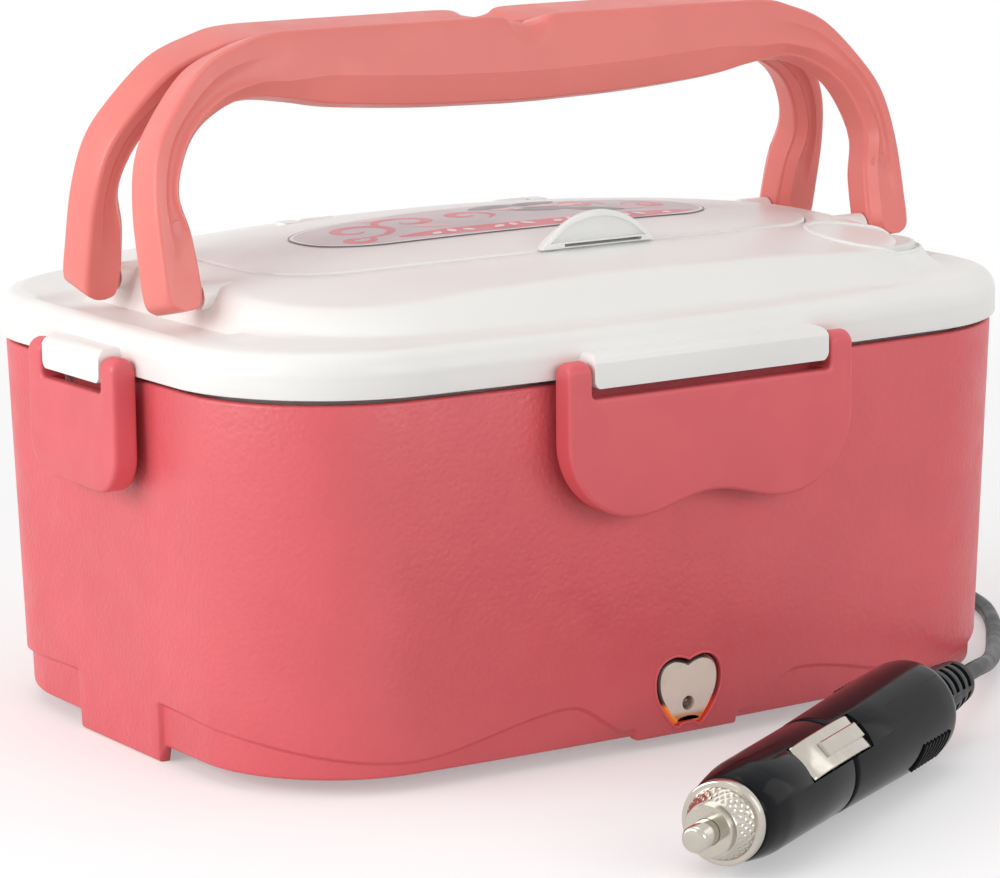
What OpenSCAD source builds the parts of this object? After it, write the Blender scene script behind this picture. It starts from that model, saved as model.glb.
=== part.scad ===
// Electric lunch box with a lift-off lid, four latch clips, two folding carry handles
// and a 12 V vehicle lead. X runs along the long side, -Y is the front, Z is up.
// The origin is at the middle of the footprint, on the table.

/* [Lid] */
// Length of the lid over its rim
lid_l = 235; // [225:0.5:245]
// Width of the lid over its rim
lid_w = 168.4; // [160:0.2:176]
// Corner radius of the rim
corner_r = 40; // [34:1:46]
// How far the long sides bow outward
side_bow = 4.8; // [2:0.2:6]
// How far the short sides bow outward
end_bow = 0.6; // [0:0.1:1.5]
// Gap between the body's upper edge and the rim
rim_gap = 1.3; // [1:0.1:2]
// Height of the rim's skirt
rim_h = 11; // [9:0.5:13]
// Wall of the lid
lid_wall = 2.2; // [1.8:0.1:2.6]
// Rise of the crowned deck above the rim's lower edge
deck_rise = 26; // [23:0.5:28]
// Crown radius of the deck along X
deck_rx = 806; // [650:10:1200]
// Crown radius of the deck along Y
deck_ry = 346; // [300:5:500]

/* [Spoon compartment] */
// Half length of the see-through cover
window_a = 84; // [78:0.5:86]
// Half width of the see-through cover at its middle
window_b = 42; // [38:0.5:43]
// How far the cover's long edges bow outward
window_bow = 14; // [10:0.5:16]
// Thickness of the cover
window_t = 1.8; // [1.4:0.1:2.2]
// Width of the landing that carries the cover
landing_w = 5; // [4:0.5:7]
// Depth of the compartment under the cover
spoon_depth = 9.5; // [7:0.5:11]
// Half width of the raised thumb tab
tab_half = 17; // [13:0.5:19]
// Height of the raised thumb tab
tab_h = 9; // [6:0.5:10]

/* [Steam vent] */
// Position of the vent along X
vent_x = 82; // [78:0.5:84]
// Distance of the vent in front of the centre line
vent_y = 44; // [43:0.5:46]
// Radius of the vent's silicone cap
vent_r = 13.4; // [12:0.2:14]

/* [Body] */
// Height of the body's upper edge
body_h = 93.2; // [84:0.2:104]
// Step in from the rim to the body's wall
rim_step = 2; // [1.5:0.1:3]
// Draft of the body's wall, in mm per mm of height
draft = 0.026; // [0.01:0.002:0.035]
// Wall of the body
wall = 2.2; // [1.8:0.1:2.8]
// Height of the skirt's lower edge above the table
skirt_z = 3.8; // [3:0.1:4.2]
// Depth of the recessed wave band round the foot
recess_d = 1.3; // [0.8:0.1:1.6]
// Height of the wave's crests on the long sides
crest_z = 13.7; // [12:0.1:16]
// Height of the wave's troughs on the long sides
trough_z = 7.1; // [6.4:0.1:8]
// Height of the band at the short sides
end_z = 14.4; // [13:0.1:17]
// Half width of the flush tab on each long side
tab_x = 15.5; // [13:0.5:18]
// Half width of the flush foot on each short side
end_tab_y = 21.5; // [18:0.5:24]

/* [Clips] */
// Half width of the two long clips
long_clip_hw = 41.7; // [36:0.1:46]
// Half width of the two short clips
short_clip_hw = 21.6; // [20:0.1:26]
// Distance of the clips' pivots from the rim
clip_out = 3.3; // [3.2:0.1:3.8]
// Height of the clips' pivots above the rim's lower edge
clip_up = 1.7; // [1.4:0.1:2.4]
// Width of the clips' ears
ear_w = 6.6; // [5.5:0.1:7.5]
// Thickness of the clips' plates
clip_t = 2.4; // [2:0.1:2.8]
// Drop of the long clips' lobes below their pivots
long_clip_drop = 35.3; // [32:0.1:38]
// Drop of the short clips' lower edge below their pivots
short_clip_drop = 30; // [28:0.1:34]
// Radius of the clips' stub pins
clip_pin_r = 1.5; // [1.2:0.1:1.6]

/* [Handles] */
// Distance of the handles' feet from the rim's ends
foot_in = 5.9; // [5:0.1:8]
// Width of a handle's leg at its foot
leg_w = 11.2; // [10:0.2:12]
// Height of the grip's top above the pivot, along the leg
handle_rise = 60.9; // [56:0.1:70]
// Depth of the grip at its middle
grip_h = 21; // [18:0.5:23]
// Thickness of a handle
handle_t = 13; // [11:0.5:13.4]
// Inward lean of the handles when raised
lean = 12.9; // [12.5:0.1:14]
// Distance of a handle's pivot from the centre line
pivot_y = 20.4; // [20:0.1:24]
// Height of the handles' pivots above the rim's lower edge
pivot_up = 17.5; // [17:0.1:18.5]
// Radius of the handles' stub pins
pivot_pin_r = 2.4; // [2:0.1:2.8]

/* [Inside] */
// Wall of the liner, the container and the tray
tub_wall = 1.5; // [1.2:0.1:1.8]
// Depth of the liner's ledge below the body's upper edge
ledge_drop = 4.8; // [4.4:0.1:7]
// Height of the underside of the liner's floor
liner_floor_z = 24.4; // [22:0.2:28]
// Air gap between the liner and the container
tub_gap = 0.9; // [0.6:0.1:1.5]
// Where the side tray begins along X
tray_x = 34; // [20:1:50]
// Depth of the side tray
tray_depth = 28; // [20:1:40]
// Half length of the heating plate
plate_a = 56; // [46:1:62]
// Half width of the heating plate
plate_b = 36; // [30:1:42]

/* [Lead] */
// Diameter of the lead
cord_d = 4.4; // [4:0.1:5]
// Position of the lead's gland along X on the back
gland_x = 60; // [57:0.5:63]
// Height of the lead's gland
gland_z = 14; // [13.6:0.1:15]
// Radius of the coil at the middle of its turns
coil_r = 25; // [24:0.5:26]

/* [Vehicle plug] */
// Overall length of the plug with its strain relief
plug_l = 150; // [146:0.5:154]
// Largest radius of the plug's barrel
plug_r = 12.6; // [12.2:0.1:13]
// Radius of the plug's nose
nose_r = 10.9; // [10.4:0.1:11.4]
// Radius of the centre contact
tip_r = 3; // [2.6:0.1:3.3]
// Travel of the centre contact
tip_travel = 2.5; // [1.5:0.1:3]

/* [Hidden] */
$fn = 48;

PINK = "#d9707a";
CORAL = "#e8837b";
WHITE = "#f2f0ee";

run = 0.1;           // radial clearance of a pin that turns
gap = 0.3;           // clearance between pieces of different bodies
lid_a = lid_l / 2;
lid_b = lid_w / 2;
body_a = lid_a - rim_step;
body_b = lid_b - rim_step;
body_r = corner_r - 2 * rim_step;
rim_z = body_h + rim_gap;
deck_z = rim_z + deck_rise;
ledge_z = body_h - ledge_drop;
handle_half = lid_a - foot_in;

// ---------------------------------------------------------------- plan outlines
arc_n = 8;
even_x = [for (i = [10:-1:1]) i / 10];
even_y = [0, 0.25, 0.5, 0.75];

// One quarter of a rounded rectangle with bowed sides, from the X axis to the Y axis
function quarter_point(a, b, r, bow, ebow, fx, fy, k) =
    let (a0 = a - ebow, b0 = b - bow, ns = len(fy), nl = len(fx), t = (k - ns) * 90 / arc_n,
        p = k < ns ? [a0, fy[k] * (b0 - r)]
            : k < ns + arc_n ? [a0 - r + r * cos(t), b0 - r + r * sin(t)]
            : k < ns + arc_n + nl ? [(a0 - r) * fx[k - ns - arc_n], b0] : [0, b0])
    [p[0] + ebow * (1 - pow(p[1] / b0, 2)), p[1] + bow * (1 - pow(p[0] / a0, 2))];

function plan(a, b, r, bow = side_bow, ebow = end_bow, fx = even_x, fy = even_y) =
    let (m = len(fy) + arc_n + len(fx))
    [for (q = [0:3], k = [0:m - 1])
        let (p = quarter_point(a, b, r, bow, ebow, fx, fy, q % 2 == 0 ? k : m - k))
        [q == 0 || q == 3 ? p[0] : -p[0], q < 2 ? p[1] : -p[1]]];

function rim_plan(inset) = plan(lid_a - inset, lid_b - inset, corner_r - inset);
function body_plan(inset) = plan(body_a - inset, body_b - inset, max(body_r - inset, 2));
function at_z(outline, z) = [for (p = outline) [p[0], p[1], z]];

// ---------------------------------------------------------------- lofts and sweeps
function band_faces(n, rows, closed) =
    [for (i = [0:rows - (closed ? 1 : 2)], j = [0:n - 1])
        let (a = i * n + j, b = i * n + (j + 1) % n,
            c = ((i + 1) % rows) * n + (j + 1) % n, d = ((i + 1) % rows) * n + j)
        each [[a, d, c], [a, c, b]]];

// A solid through a stack of rings, closed by a flat face at both ends
module loft(rings) {
    n = len(rings[0]);
    m = len(rings);
    polyhedron(points = [for (r = rings) each r], faces = concat(
        [[for (j = [0:n - 1]) j]], band_faces(n, m, false), [[for (j = [n - 1:-1:0]) (m - 1) * n + j]]));
}

// A ring-shaped wall whose section runs through all the rings and back to the first
module loft_wall(rings) {
    polyhedron(points = [for (r = rings) each r], faces = band_faces(len(rings[0]), len(rings), true));
}

function unit(v) = v / norm(v);
function spline_point(p, i, t) =
    let (n = len(p), a = p[max(i - 1, 0)], b = p[i], c = p[min(i + 1, n - 1)], d = p[min(i + 2, n - 1)])
    0.5 * (2 * b + (c - a) * t + (2 * a - 5 * b + 4 * c - d) * t * t + (3 * b - a - 3 * c + d) * t * t * t);
function spline(p, steps) = concat(
    [for (i = [0:len(p) - 2], k = [0:steps - 1]) spline_point(p, i, k / steps)], [p[len(p) - 1]]);
function sweep_ring(c, t, r, sides) =
    let (u = unit(cross([0, 0, 1], t)), v = cross(t, u))
    [for (k = [0:sides - 1]) c + r * (cos(360 * k / sides) * u + sin(360 * k / sides) * v)];

// A round cord along a list of points
module cord_tube(p, d, sides) {
    last = len(p) - 1;
    loft([for (i = [0:last]) sweep_ring(p[i], unit(p[min(i + 1, last)] - p[max(i - 1, 0)]), d / 2, sides)]);
}

function smooth(t) = let (c = min(max(t, 0), 1)) c * c * (3 - 2 * c);
module slab(outline, z0, z1) {
    translate([0, 0, z0]) linear_extrude(z1 - z0) polygon(outline);
}

// ---------------------------------------------------------------- body shell
body_straight_x = body_a - end_bow - body_r;
body_straight_y = body_b - side_bow - body_r;
step_half = 0.3;     // half width of the sloping flank of each flush tab
body_fx = [for (x = [body_straight_x, 71, 62, 54, 47, 41, 35, 30, 26, 22.5, 19.5, tab_x + step_half,
    tab_x - step_half, 7]) x / body_straight_x];
body_fy = [for (y = [0, 11, end_tab_y - step_half, end_tab_y + step_half, 31]) y / body_straight_y];
crest_x = 35;        // distance of the wave's crests from the middle
trough_x = 79;       // distance of the wave's troughs from the middle

function is_long_tab(x, y) = abs(x) < tab_x && abs(y) > end_tab_y;
function is_end_tab(x, y) = abs(y) < end_tab_y && abs(x) > tab_x;
function wave_z(x, y) =
    let (u = abs(x), v = abs(y),
        turn = 0.5 * ((u - trough_x) / (body_a - trough_x) + 1 - (v - end_tab_y) / (body_b - end_tab_y)))
    u < crest_x ? skirt_z + 0.4 + (crest_z - skirt_z - 0.4) * smooth((u - tab_x) / (crest_x - tab_x))
    : u < trough_x ? crest_z + (trough_z - crest_z) * smooth((u - crest_x) / (trough_x - crest_x))
    : trough_z + (end_z - trough_z) * smooth(turn);
function foot_z(x, y) = is_end_tab(x, y) ? 0 : is_long_tab(x, y) ? skirt_z - 1 : skirt_z;
function recess(x, y) = is_end_tab(x, y) || is_long_tab(x, y) ? 0 : recess_d;

// Ring of the body's wall: a height function row picks the level round the foot
function drafted(inset, z) =
    let (k = inset + draft * (body_h - z))
    plan(body_a - k, body_b - k, max(body_r - inset, 2), fx = body_fx, fy = body_fy);
function body_ring(inset, z) = at_z(drafted(inset, z), z);
function foot_ring(row) =
    let (flush = drafted(0, skirt_z), deep = drafted(recess_d, skirt_z), soft = drafted(1, skirt_z),
        deep_soft = drafted(recess_d + 1, skirt_z))
    [for (j = [0:len(flush) - 1])
        let (p = flush[j], tab = recess(p[0], p[1]) == 0, z0 = foot_z(p[0], p[1]),
            zw = max(wave_z(p[0], p[1]), z0 + 1.6),
            q = row == 0 ? (tab ? soft[j] : deep_soft[j]) : row < 3 && !tab ? deep[j] : p)
        [q[0], q[1], row == 0 ? z0 : row == 1 ? z0 + 1.2 : row == 2 ? zw - 0.2 : zw + 0.9]];

cover_top = 6.4;                     // upper face of the bottom cover
cover_lip = 4.2;                     // inset of the lip that the bottom cover closes against
cover_seat = recess_d + 1.6;         // inset of the rebate round the bottom cover
ledge_in = wall + 2.6;
wall_start_z = 30;                   // height above which the wall has its full draft

tooth_half = [[0, 21.2], [2, 22], [4.6, 22.3], [7.5, 21.2], [9.3, 18.8], [9.7, 15.5], [9, 12.2], [7, 8.6],
    [4.9, 6], [3.2, 4.8], [2, 5.5], [0, 5.8]];
lens_depth = 6;
function mirrored(half) = concat(half, [for (i = [len(half) - 2:-1:1]) [-half[i][0], half[i][1]]]);
function inset_outline(p, d) =
    let (n = len(p))
    [for (i = [0:n - 1]) let (t = unit(p[(i + 1) % n] - p[(i + n - 1) % n])) p[i] + d * [t[1], -t[0]]];
tooth = mirrored(spline(tooth_half, 3));
front_y = body_b - draft * (body_h - tooth_half[5][1]);      // face of the body at the lamp window

// Prism of an X-Z outline between two distances in front of the centre line
module front_prism(outline, y0, y1) {
    translate([0, -y0, 0]) rotate([90, 0, 0]) linear_extrude(y1 - y0) polygon(outline);
}

pivot_long = lid_b + clip_out;
pivot_short = lid_a + clip_out;
clip_z = rim_z + clip_up;
clip_face = clip_t + 0.7;            // distance of a clip's outer face from its pivot
catch_top = 8.7;                     // top of the body's catch below the clip's pivot
catch_h = 3.5;
hook_in = 3.2;                       // how far a clip's hook and flange reach in from the pivot
function catch_half(hw) = hw - ear_w - 3;

module body_catch(pivot, hw) {
    depth = pivot - hook_in - 0.4;
    translate([-catch_half(hw), -depth, clip_z - catch_top - catch_h])
        cube([2 * catch_half(hw), 3, catch_h]);
}
module four_sides(long, short) {
    for (a = [0, 180]) rotate([0, 0, a]) body_catch(long, long_clip_hw);
    for (a = [90, 270]) rotate([0, 0, a]) body_catch(short, short_clip_hw);
}

gland_wall_y = body_b - side_bow * pow(gland_x / (body_a - end_bow), 2) - draft * (body_h - gland_z);
gland_bore = 5;

module outer_shell() {
    color(PINK) difference() {
        union() {
            loft_wall([foot_ring(0), foot_ring(1), foot_ring(2), foot_ring(3),
                body_ring(0, wall_start_z), body_ring(0, body_h - 0.8), body_ring(0.8, body_h),
                body_ring(wall, body_h), body_ring(wall, ledge_z), body_ring(ledge_in, ledge_z),
                body_ring(ledge_in, ledge_z - 1.6), body_ring(wall, ledge_z - 4.6),
                body_ring(wall, 18), body_ring(cover_lip, 15), body_ring(cover_lip, cover_top),
                body_ring(cover_seat, cover_top), body_ring(cover_seat, skirt_z + 0.8),
                [for (p = drafted(cover_seat, skirt_z)) [p[0], p[1], foot_z(p[0], p[1])]]]);
            four_sides(pivot_long, pivot_short);
        }
        front_prism(tooth, front_y - lens_depth - 4, front_y + 2);
        translate([gland_x, gland_wall_y - 8, gland_z]) rotate([-90, 0, 0]) cylinder(r = gland_bore, h = 20);
    }
}

// ---------------------------------------------------------------- tubs
liner_a = body_a - 9.5;
liner_b = body_b - 9.5;
liner_r = body_r - 6;
function tub_plan(inset) = plan(liner_a - inset, liner_b - inset, liner_r - inset);
flange_t = 1.2;
liner_top = ledge_z + flange_t;
liner_floor = liner_floor_z + tub_wall;
post_x = liner_a - 24;
post_y = liner_b - 20;
screw_r = 1.25;
// Block of the heating plate's outline, inset all round
module plate_block(inset, z0, z1) {
    translate([inset - plate_a, inset - plate_b, z0])
        cube([2 * (plate_a - inset), 2 * (plate_b - inset), z1 - z0]);
}
module posts() {
    for (x = [-post_x, post_x], y = [-post_y, post_y]) translate([x, y, 0]) children();
}

module inner_liner() {
    color(WHITE) difference() {
        union() {
            slab(body_plan(wall + 0.4 + draft * (body_h - ledge_z)), ledge_z, liner_top);
            slab(tub_plan(0), liner_floor_z, ledge_z + 0.1);
            posts() translate([0, 0, cover_top]) cylinder(r = 4, h = liner_floor_z - cover_top + 0.1);
        }
        slab(tub_plan(tub_wall), liner_floor, liner_top + 1);
        plate_block(4, liner_floor_z - 1, liner_floor_z + 9);
        posts() translate([0, 0, cover_top - 1]) cylinder(r = screw_r, h = 12);
    }
}

seal_t = 0.5;
plate_flange = 1.4;
plate_top = liner_floor + seal_t + plate_flange;
plate_pad_z = liner_floor_z - 2.4;
module plate_seal() {
    color("#b9b9b9") difference() {
        plate_block(0, liner_floor, liner_floor + seal_t);
        plate_block(4, liner_floor - 1, liner_floor + 2);
    }
}
heater_z = plate_pad_z - 3;
clamp_x = 38;
module heating_plate() {
    color("#cfd2d6") difference() {
        union() {
            plate_block(0, liner_floor + seal_t, plate_top);
            plate_block(5, plate_pad_z, plate_top - 0.1);
            for (s = [-1, 1]) translate([s * clamp_x, 0, heater_z]) cylinder(r = 3.2, h = 4);
        }
        for (s = [-1, 1]) translate([s * clamp_x, 0, heater_z - 1]) cylinder(r = screw_r, h = 6);
    }
}
module ptc_heater() {
    color("#8a6a52") for (s = [-1, 1]) translate([s * 17 - 15, -9, heater_z]) cube([30, 18, 3]);
}
clamp_t = 1.2;
module heater_clamp() {
    color("#b5b8bc") difference() {
        translate([-clamp_x - 6, -5, heater_z - clamp_t]) cube([2 * clamp_x + 12, 10, clamp_t]);
        for (s = [-1, 1]) translate([s * clamp_x, 0, heater_z - clamp_t - 1]) cylinder(r = 1.7, h = 4);
    }
}
module clamp_screws() {
    color("#9a9da1") for (s = [-1, 1]) translate([s * clamp_x, 0, heater_z - clamp_t]) {
        translate([0, 0, -2]) cylinder(r = 2.8, h = 2);
        translate([0, 0, -0.1]) cylinder(r = screw_r, h = 5);
    }
}
module thermostat() {
    color("#2b2b2e") translate([0, 22, plate_pad_z - 6]) {
        cylinder(r = 8, h = 6);
        for (s = [-1, 1]) translate([s * 4 - 0.4, -8, -4]) cube([0.8, 5, 5]);
    }
}
module thermal_fuse() {
    color("#d8d2c4") translate([-9, -20, plate_pad_z - 2]) rotate([0, 90, 0]) cylinder(r = 2, h = 18);
}

container_floor_z = plate_top + gap;
container_top_z = liner_top + gap;
module food_container() {
    color("#d7dadd") difference() {
        union() {
            slab(body_plan(wall + 1.2 + draft * (body_h - ledge_z)),
                container_top_z, container_top_z + flange_t);
            slab(tub_plan(tub_wall + tub_gap), container_floor_z, container_top_z + 0.1);
        }
        difference() {
            slab(tub_plan(2 * tub_wall + tub_gap), container_floor_z + tub_wall, container_top_z + 9);
            for (s = [-1, 1]) translate([tray_x, s * (liner_b - 8) - 4, tray_z - gap - 4])
                cube([liner_a - tray_x - 30, 8, 4]);
        }
    }
}
tray_top = container_top_z + flange_t - 0.8;
tray_z = tray_top - tray_depth;
function tray_plan(inset) = tub_plan(2 * tub_wall + tub_gap + 0.7 + inset);
module tray_block(inset, z0, z1) {
    intersection() {
        slab(tray_plan(inset), z0, z1);
        translate([tray_x + inset, -lid_b, z0]) cube([lid_a, lid_w, z1 - z0]);
    }
}
module side_tray() {
    color("#e9e6e0") difference() {
        tray_block(0, tray_z, tray_top);
        tray_block(tub_wall, tray_z + tub_wall, tray_top + 5);
    }
}

// ---------------------------------------------------------------- bottom
foot_x = post_x - 16;
foot_y = post_y - 8;
foot_r = 7;
cover_z = cover_top - 2.2;
function cover_plan() = plan(body_a - cover_seat - 0.3 - draft * (body_h - cover_z),
    body_b - cover_seat - 0.3 - draft * (body_h - cover_z), body_r - cover_seat);
module bottom_cover() {
    color(PINK) difference() {
        slab(cover_plan(), cover_z, cover_top);
        posts() translate([0, 0, cover_z - 1]) cylinder(r = 1.7, h = 6);
    }
}
cover_screw_l = 10;
module cover_screws() {
    color("#9a9da1") posts() {
        translate([0, 0, cover_z - 2]) cylinder(r = 2.9, h = 2);
        translate([0, 0, cover_z - 0.1]) cylinder(r = screw_r, h = cover_screw_l);
    }
}
module rubber_feet() {
    color("#3a3a3c") for (x = [-foot_x, foot_x], y = [-foot_y, foot_y])
        translate([x, y, 0]) cylinder(r1 = foot_r - 0.6, r2 = foot_r, h = cover_z);
}

// ---------------------------------------------------------------- lamp
lens_t = 1.8;
lens_y = front_y - 0.7;
led_r = 1.5;
led_z = 10.3;
module indicator_lens() {
    color("#e6b9a4") difference() {
        front_prism(inset_outline(tooth, 0.25), lens_y - lens_t, lens_y);
        translate([0, -lens_y + lens_t + 1, led_z]) rotate([90, 0, 0])
            cylinder(r = led_r + 0.3, h = lens_t + 2);
    }
}
led_l = 7;
board_y = lens_y - led_l;            // face of the board that carries the lamp
module indicator_led() {
    color("#ff9a3c") translate([0, -board_y, led_z]) rotate([90, 0, 0]) {
        cylinder(r = led_r, h = led_l - led_r);
        translate([0, 0, led_l - led_r]) sphere(r = led_r);
        cylinder(r = led_r + 0.5, h = 1);
    }
}
module led_board() {
    color("#2f7d4a") translate([-10, -board_y, cover_top]) cube([20, 1.4, 13]);
}

// ---------------------------------------------------------------- lead inside the body
gland_in = gland_wall_y - cover_lip - 2.6;       // inner face of the gland's flange
gland_l = 24.2;                                  // length of the gland's taper outside the wall
gland_end = gland_wall_y + 0.3 + gland_l;
module cord_gland() {
    color("#26272b") translate([gland_x, 0, gland_z]) rotate([-90, 0, 0]) difference() {
        union() {
            translate([0, 0, gland_in]) cylinder(r = gland_bore + 1.4, h = 1.6);
            translate([0, 0, gland_in]) cylinder(r = gland_bore - 0.05, h = gland_wall_y - gland_in + 0.5);
            translate([0, 0, gland_wall_y + 0.3])
                cylinder(r1 = gland_bore + 1.4, r2 = cord_d / 2 + 0.9, h = gland_l);
        }
        translate([0, 0, gland_in - 1]) cylinder(r = cord_d / 2, h = gland_end - gland_in + 2);
    }
}
clamp_y = gland_in - 9;
clamp_top = gland_z + cord_d / 2 + 2;
module cord_clamp() {
    color("#e4e1dc") difference() {
        translate([gland_x - 12, clamp_y - 4, cover_top]) cube([24, 8, clamp_top - cover_top]);
        translate([gland_x, clamp_y - 5, gland_z]) rotate([-90, 0, 0]) cylinder(r = cord_d / 2, h = 10);
        for (s = [-1, 1]) translate([gland_x + s * 8.5, clamp_y, cover_top + 2])
            cylinder(r = screw_r, h = 20);
    }
}
module cord_clamp_screws() {
    color("#9a9da1") for (s = [-1, 1])
        translate([gland_x + s * 8.5, clamp_y, clamp_top]) {
            cylinder(r = 2.6, h = 1.6);
            translate([0, 0, -7]) cylinder(r = screw_r, h = 7.1);
        }
}
block_y = clamp_y - 27;
block_h = 9;
module terminal_block() {
    color("#efeee9") difference() {
        translate([gland_x - 12, block_y - 6, cover_top]) cube([24, 12, block_h]);
        for (s = [-1, 1]) translate([gland_x + s * 6, block_y, cover_top + 4]) cylinder(r = 2, h = 8);
    }
}
lead_d = 1.6;
lead_z = cover_top + block_h / 2;
thermostat_z = plate_pad_z - 10.4;   // lower ends of the thermostat's terminals
module inner_lead(route) {
    cord_tube(spline(route, 3), lead_d, 6);
}
module power_leads() {
    color("#7a2222") {
        for (s = [-1, 1]) {
            inner_lead([[gland_x + s * 2, clamp_y - 4, gland_z], [gland_x + s * 4, clamp_y - 12, 12.5],
                [gland_x + s * 6, block_y + 6, lead_z]]);
            inner_lead([[gland_x + s * 6, block_y - 6, lead_z], [gland_x - 6 + s * 6, block_y - 16, 11],
                [40, s * 3, 11.5], [32 + s, s * 7, heater_z + 0.2]]);
        }
        inner_lead([[gland_x - 12, block_y + 2, lead_z], [30, 36, 9], [12, 28, 8.6], [4, 16, thermostat_z]]);
        inner_lead([[-4, 16, thermostat_z], [-18, 2, 9], [-20, -14, 12], [-9.4, -20, plate_pad_z - 2]]);
        inner_lead([[9.4, -20, plate_pad_z - 2], [16, -34, 12], [8, -58, 10], [4, -board_y + 1.5, 11]]);
    }
}

// ---------------------------------------------------------------- lead outside the body
cord_z = cord_d / 2;
coil_x = 10;
coil_y = 128;
coil_rings = 3;
coil_layers = 2;
coil_out = coil_r + cord_d;
coil_top_z = cord_z + cord_d;
plug_heading = 28.3;
plug_x = -72.5;
plug_y = -180;
plug_end_x = plug_x + plug_l * cos(plug_heading);
plug_end_y = plug_y + plug_l * sin(plug_heading);
rear_route = [[gland_x, gland_end, gland_z], [gland_x, 113, 12.4], [gland_x - 1.5, 126, 9.4],
    [51, 142, 7.4], [38, 153, 6.8], [24, 157, coil_top_z], [coil_x, coil_y + coil_out, coil_top_z]];
front_route = [[coil_x, coil_y - coil_out, cord_z], [32, 98, cord_z], [58, 97, cord_z], [84, 94, cord_z],
    [108, 86, cord_z], [128, 71, cord_z], [142, 51, cord_z], [150, 28, cord_z], [152, 5, cord_z],
    [147, -16, cord_z], [136, -34, cord_z], [122, -51, cord_z + 0.2], [106, -69, 4.6], [91, -84, 7.6],
    [76, -96.5, 10.6], [plug_end_x, plug_end_y, plug_r]];

module cord_rear() {
    color("#26272b") {
        cord_tube(spline(rear_route, 3), cord_d, 10);
        cord_tube([[gland_x, clamp_y - 4, gland_z], [gland_x, gland_end, gland_z]], cord_d - 0.1, 10);
    }
}
module cord_coil() {
    color("#26272b") translate([coil_x, coil_y, 0]) rotate_extrude($fn = 64)
        translate([coil_r - coil_rings * cord_d / 2, 0]) square([coil_rings * cord_d, coil_layers * cord_d]);
}
tie_t = 0.8;
module coil_tie() {
    w = coil_rings * cord_d;
    h = coil_layers * cord_d;
    color("#1c1c1e") translate([coil_x - coil_r, coil_y - 2, 0]) difference() {
        translate([-w / 2 - tie_t, 0, 0]) cube([w + 2 * tie_t, 4, h + tie_t]);
        translate([-w / 2, -1, -1]) cube([w, 6, h + 1]);
    }
}
module cord_front() {
    color("#26272b") cord_tube(spline(front_route, 3), cord_d, 10);
}

// ---------------------------------------------------------------- vehicle plug
// Pieces of the plug are drawn along +X from the tip and set down at the plug's place
module at_plug(roll = 0) {
    translate([plug_x, plug_y, plug_r]) rotate([0, 0, plug_heading]) rotate([roll, 0, 0]) children();
}
module turned(profile) {
    rotate([0, 90, 0]) rotate_extrude($fn = 64) polygon(profile);
}
ring_front = 7;
ring_end = 17;
groove_t = 62;
relief_t = plug_l - 28;
collar_r = tip_r + 1.4;
cavity_r = 5;
contact_a = 40;
contact_l = 32;
contact_w = 9;
contact_roll = 45;
contact_travel = 1.2;
contact_foot = 4.2;   // depth of a contact's feet below the nose's surface
slot_floor = contact_foot + contact_travel + 0.2;

module contact_slots() {
    for (r = [0, 180]) rotate([r - contact_roll, 0, 0])
        translate([contact_a - 0.5, -nose_r - 6, -contact_w / 2 - gap])
            cube([contact_l + 1, 6 + slot_floor, contact_w + 2 * gap]);
}
module plug_tip() {
    color("#dcd6c6") at_plug() turned([[0, 0], [tip_r - 0.5, 0], [tip_r, 0.5], [tip_r, 10.5],
        [collar_r, 10.5], [collar_r, 13], [1.6, 13], [1.6, 18], [0, 18]]);
}
module plug_ring() {
    color("#d3ccb8") at_plug() turned([[tip_r + run, ring_front], [5.8, ring_front], [5.8, ring_front + 2],
        [6.8, ring_front + 2.3], [8.8, ring_end - 3], [nose_r - 0.9, ring_end - 3],
        [nose_r - 0.7, ring_end - 2.6],
        [nose_r - 0.7, ring_end], [cavity_r, ring_end], [cavity_r, ring_front + 3],
        [tip_r + run, ring_front + 3]]);
}
module plug_nose() {
    color("#17181b") difference() {
        at_plug() turned([[cavity_r, ring_end], [nose_r - 0.9, ring_end], [nose_r, ring_end + 14],
            [nose_r + 0.4, groove_t - 1], [nose_r, groove_t], [cavity_r, groove_t]]);
        at_plug() contact_slots();
    }
}
fuse_a = 26;
fuse_b = 56;
module tip_spring() {
    color("#b9bcc0") at_plug() turned([[2.4, 15.9], [3.6, 15.9], [3.6, fuse_a], [2.4, fuse_a]]);
}
module plug_fuse() {
    color("#c9cdd0") at_plug() turned([[0, fuse_a], [cavity_r - 0.1, fuse_a], [cavity_r - 0.1, fuse_a + 5],
        [cavity_r - 0.9, fuse_a + 5], [cavity_r - 0.9, fuse_b - 5], [cavity_r - 0.1, fuse_b - 5],
        [cavity_r - 0.1, fuse_b], [0, fuse_b]]);
}
module plug_body() {
    color("#17181b") difference() {
        at_plug() turned([[0, groove_t], [nose_r, groove_t], [nose_r + 0.5, groove_t + 1],
            [plug_r, relief_t - 16], [plug_r, relief_t - 3], [plug_r - 0.8, relief_t - 0.8],
            [plug_r - 2.4, relief_t], [0, relief_t]]);
        at_plug() contact_slots();
    }
}
module contact(roll) {
    end = contact_l;
    at_plug(roll) translate([contact_a, -nose_r, -contact_w / 2]) linear_extrude(contact_w) polygon([
        [0, contact_foot], [0, -0.2], [6, -1.6], [20, -1.9], [end - 3, -1], [end, 0.6], [end, contact_foot],
        [end - 2, contact_foot], [22, 1.4], [4, 1.4], [2, contact_foot]]);
}
module contact_near() {
    color("#dcd6c6") contact(-contact_roll);
}
module contact_far() {
    color("#dcd6c6") contact(180 - contact_roll);
}
relief_r0 = 7.4;
relief_r1 = 5.2;
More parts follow.
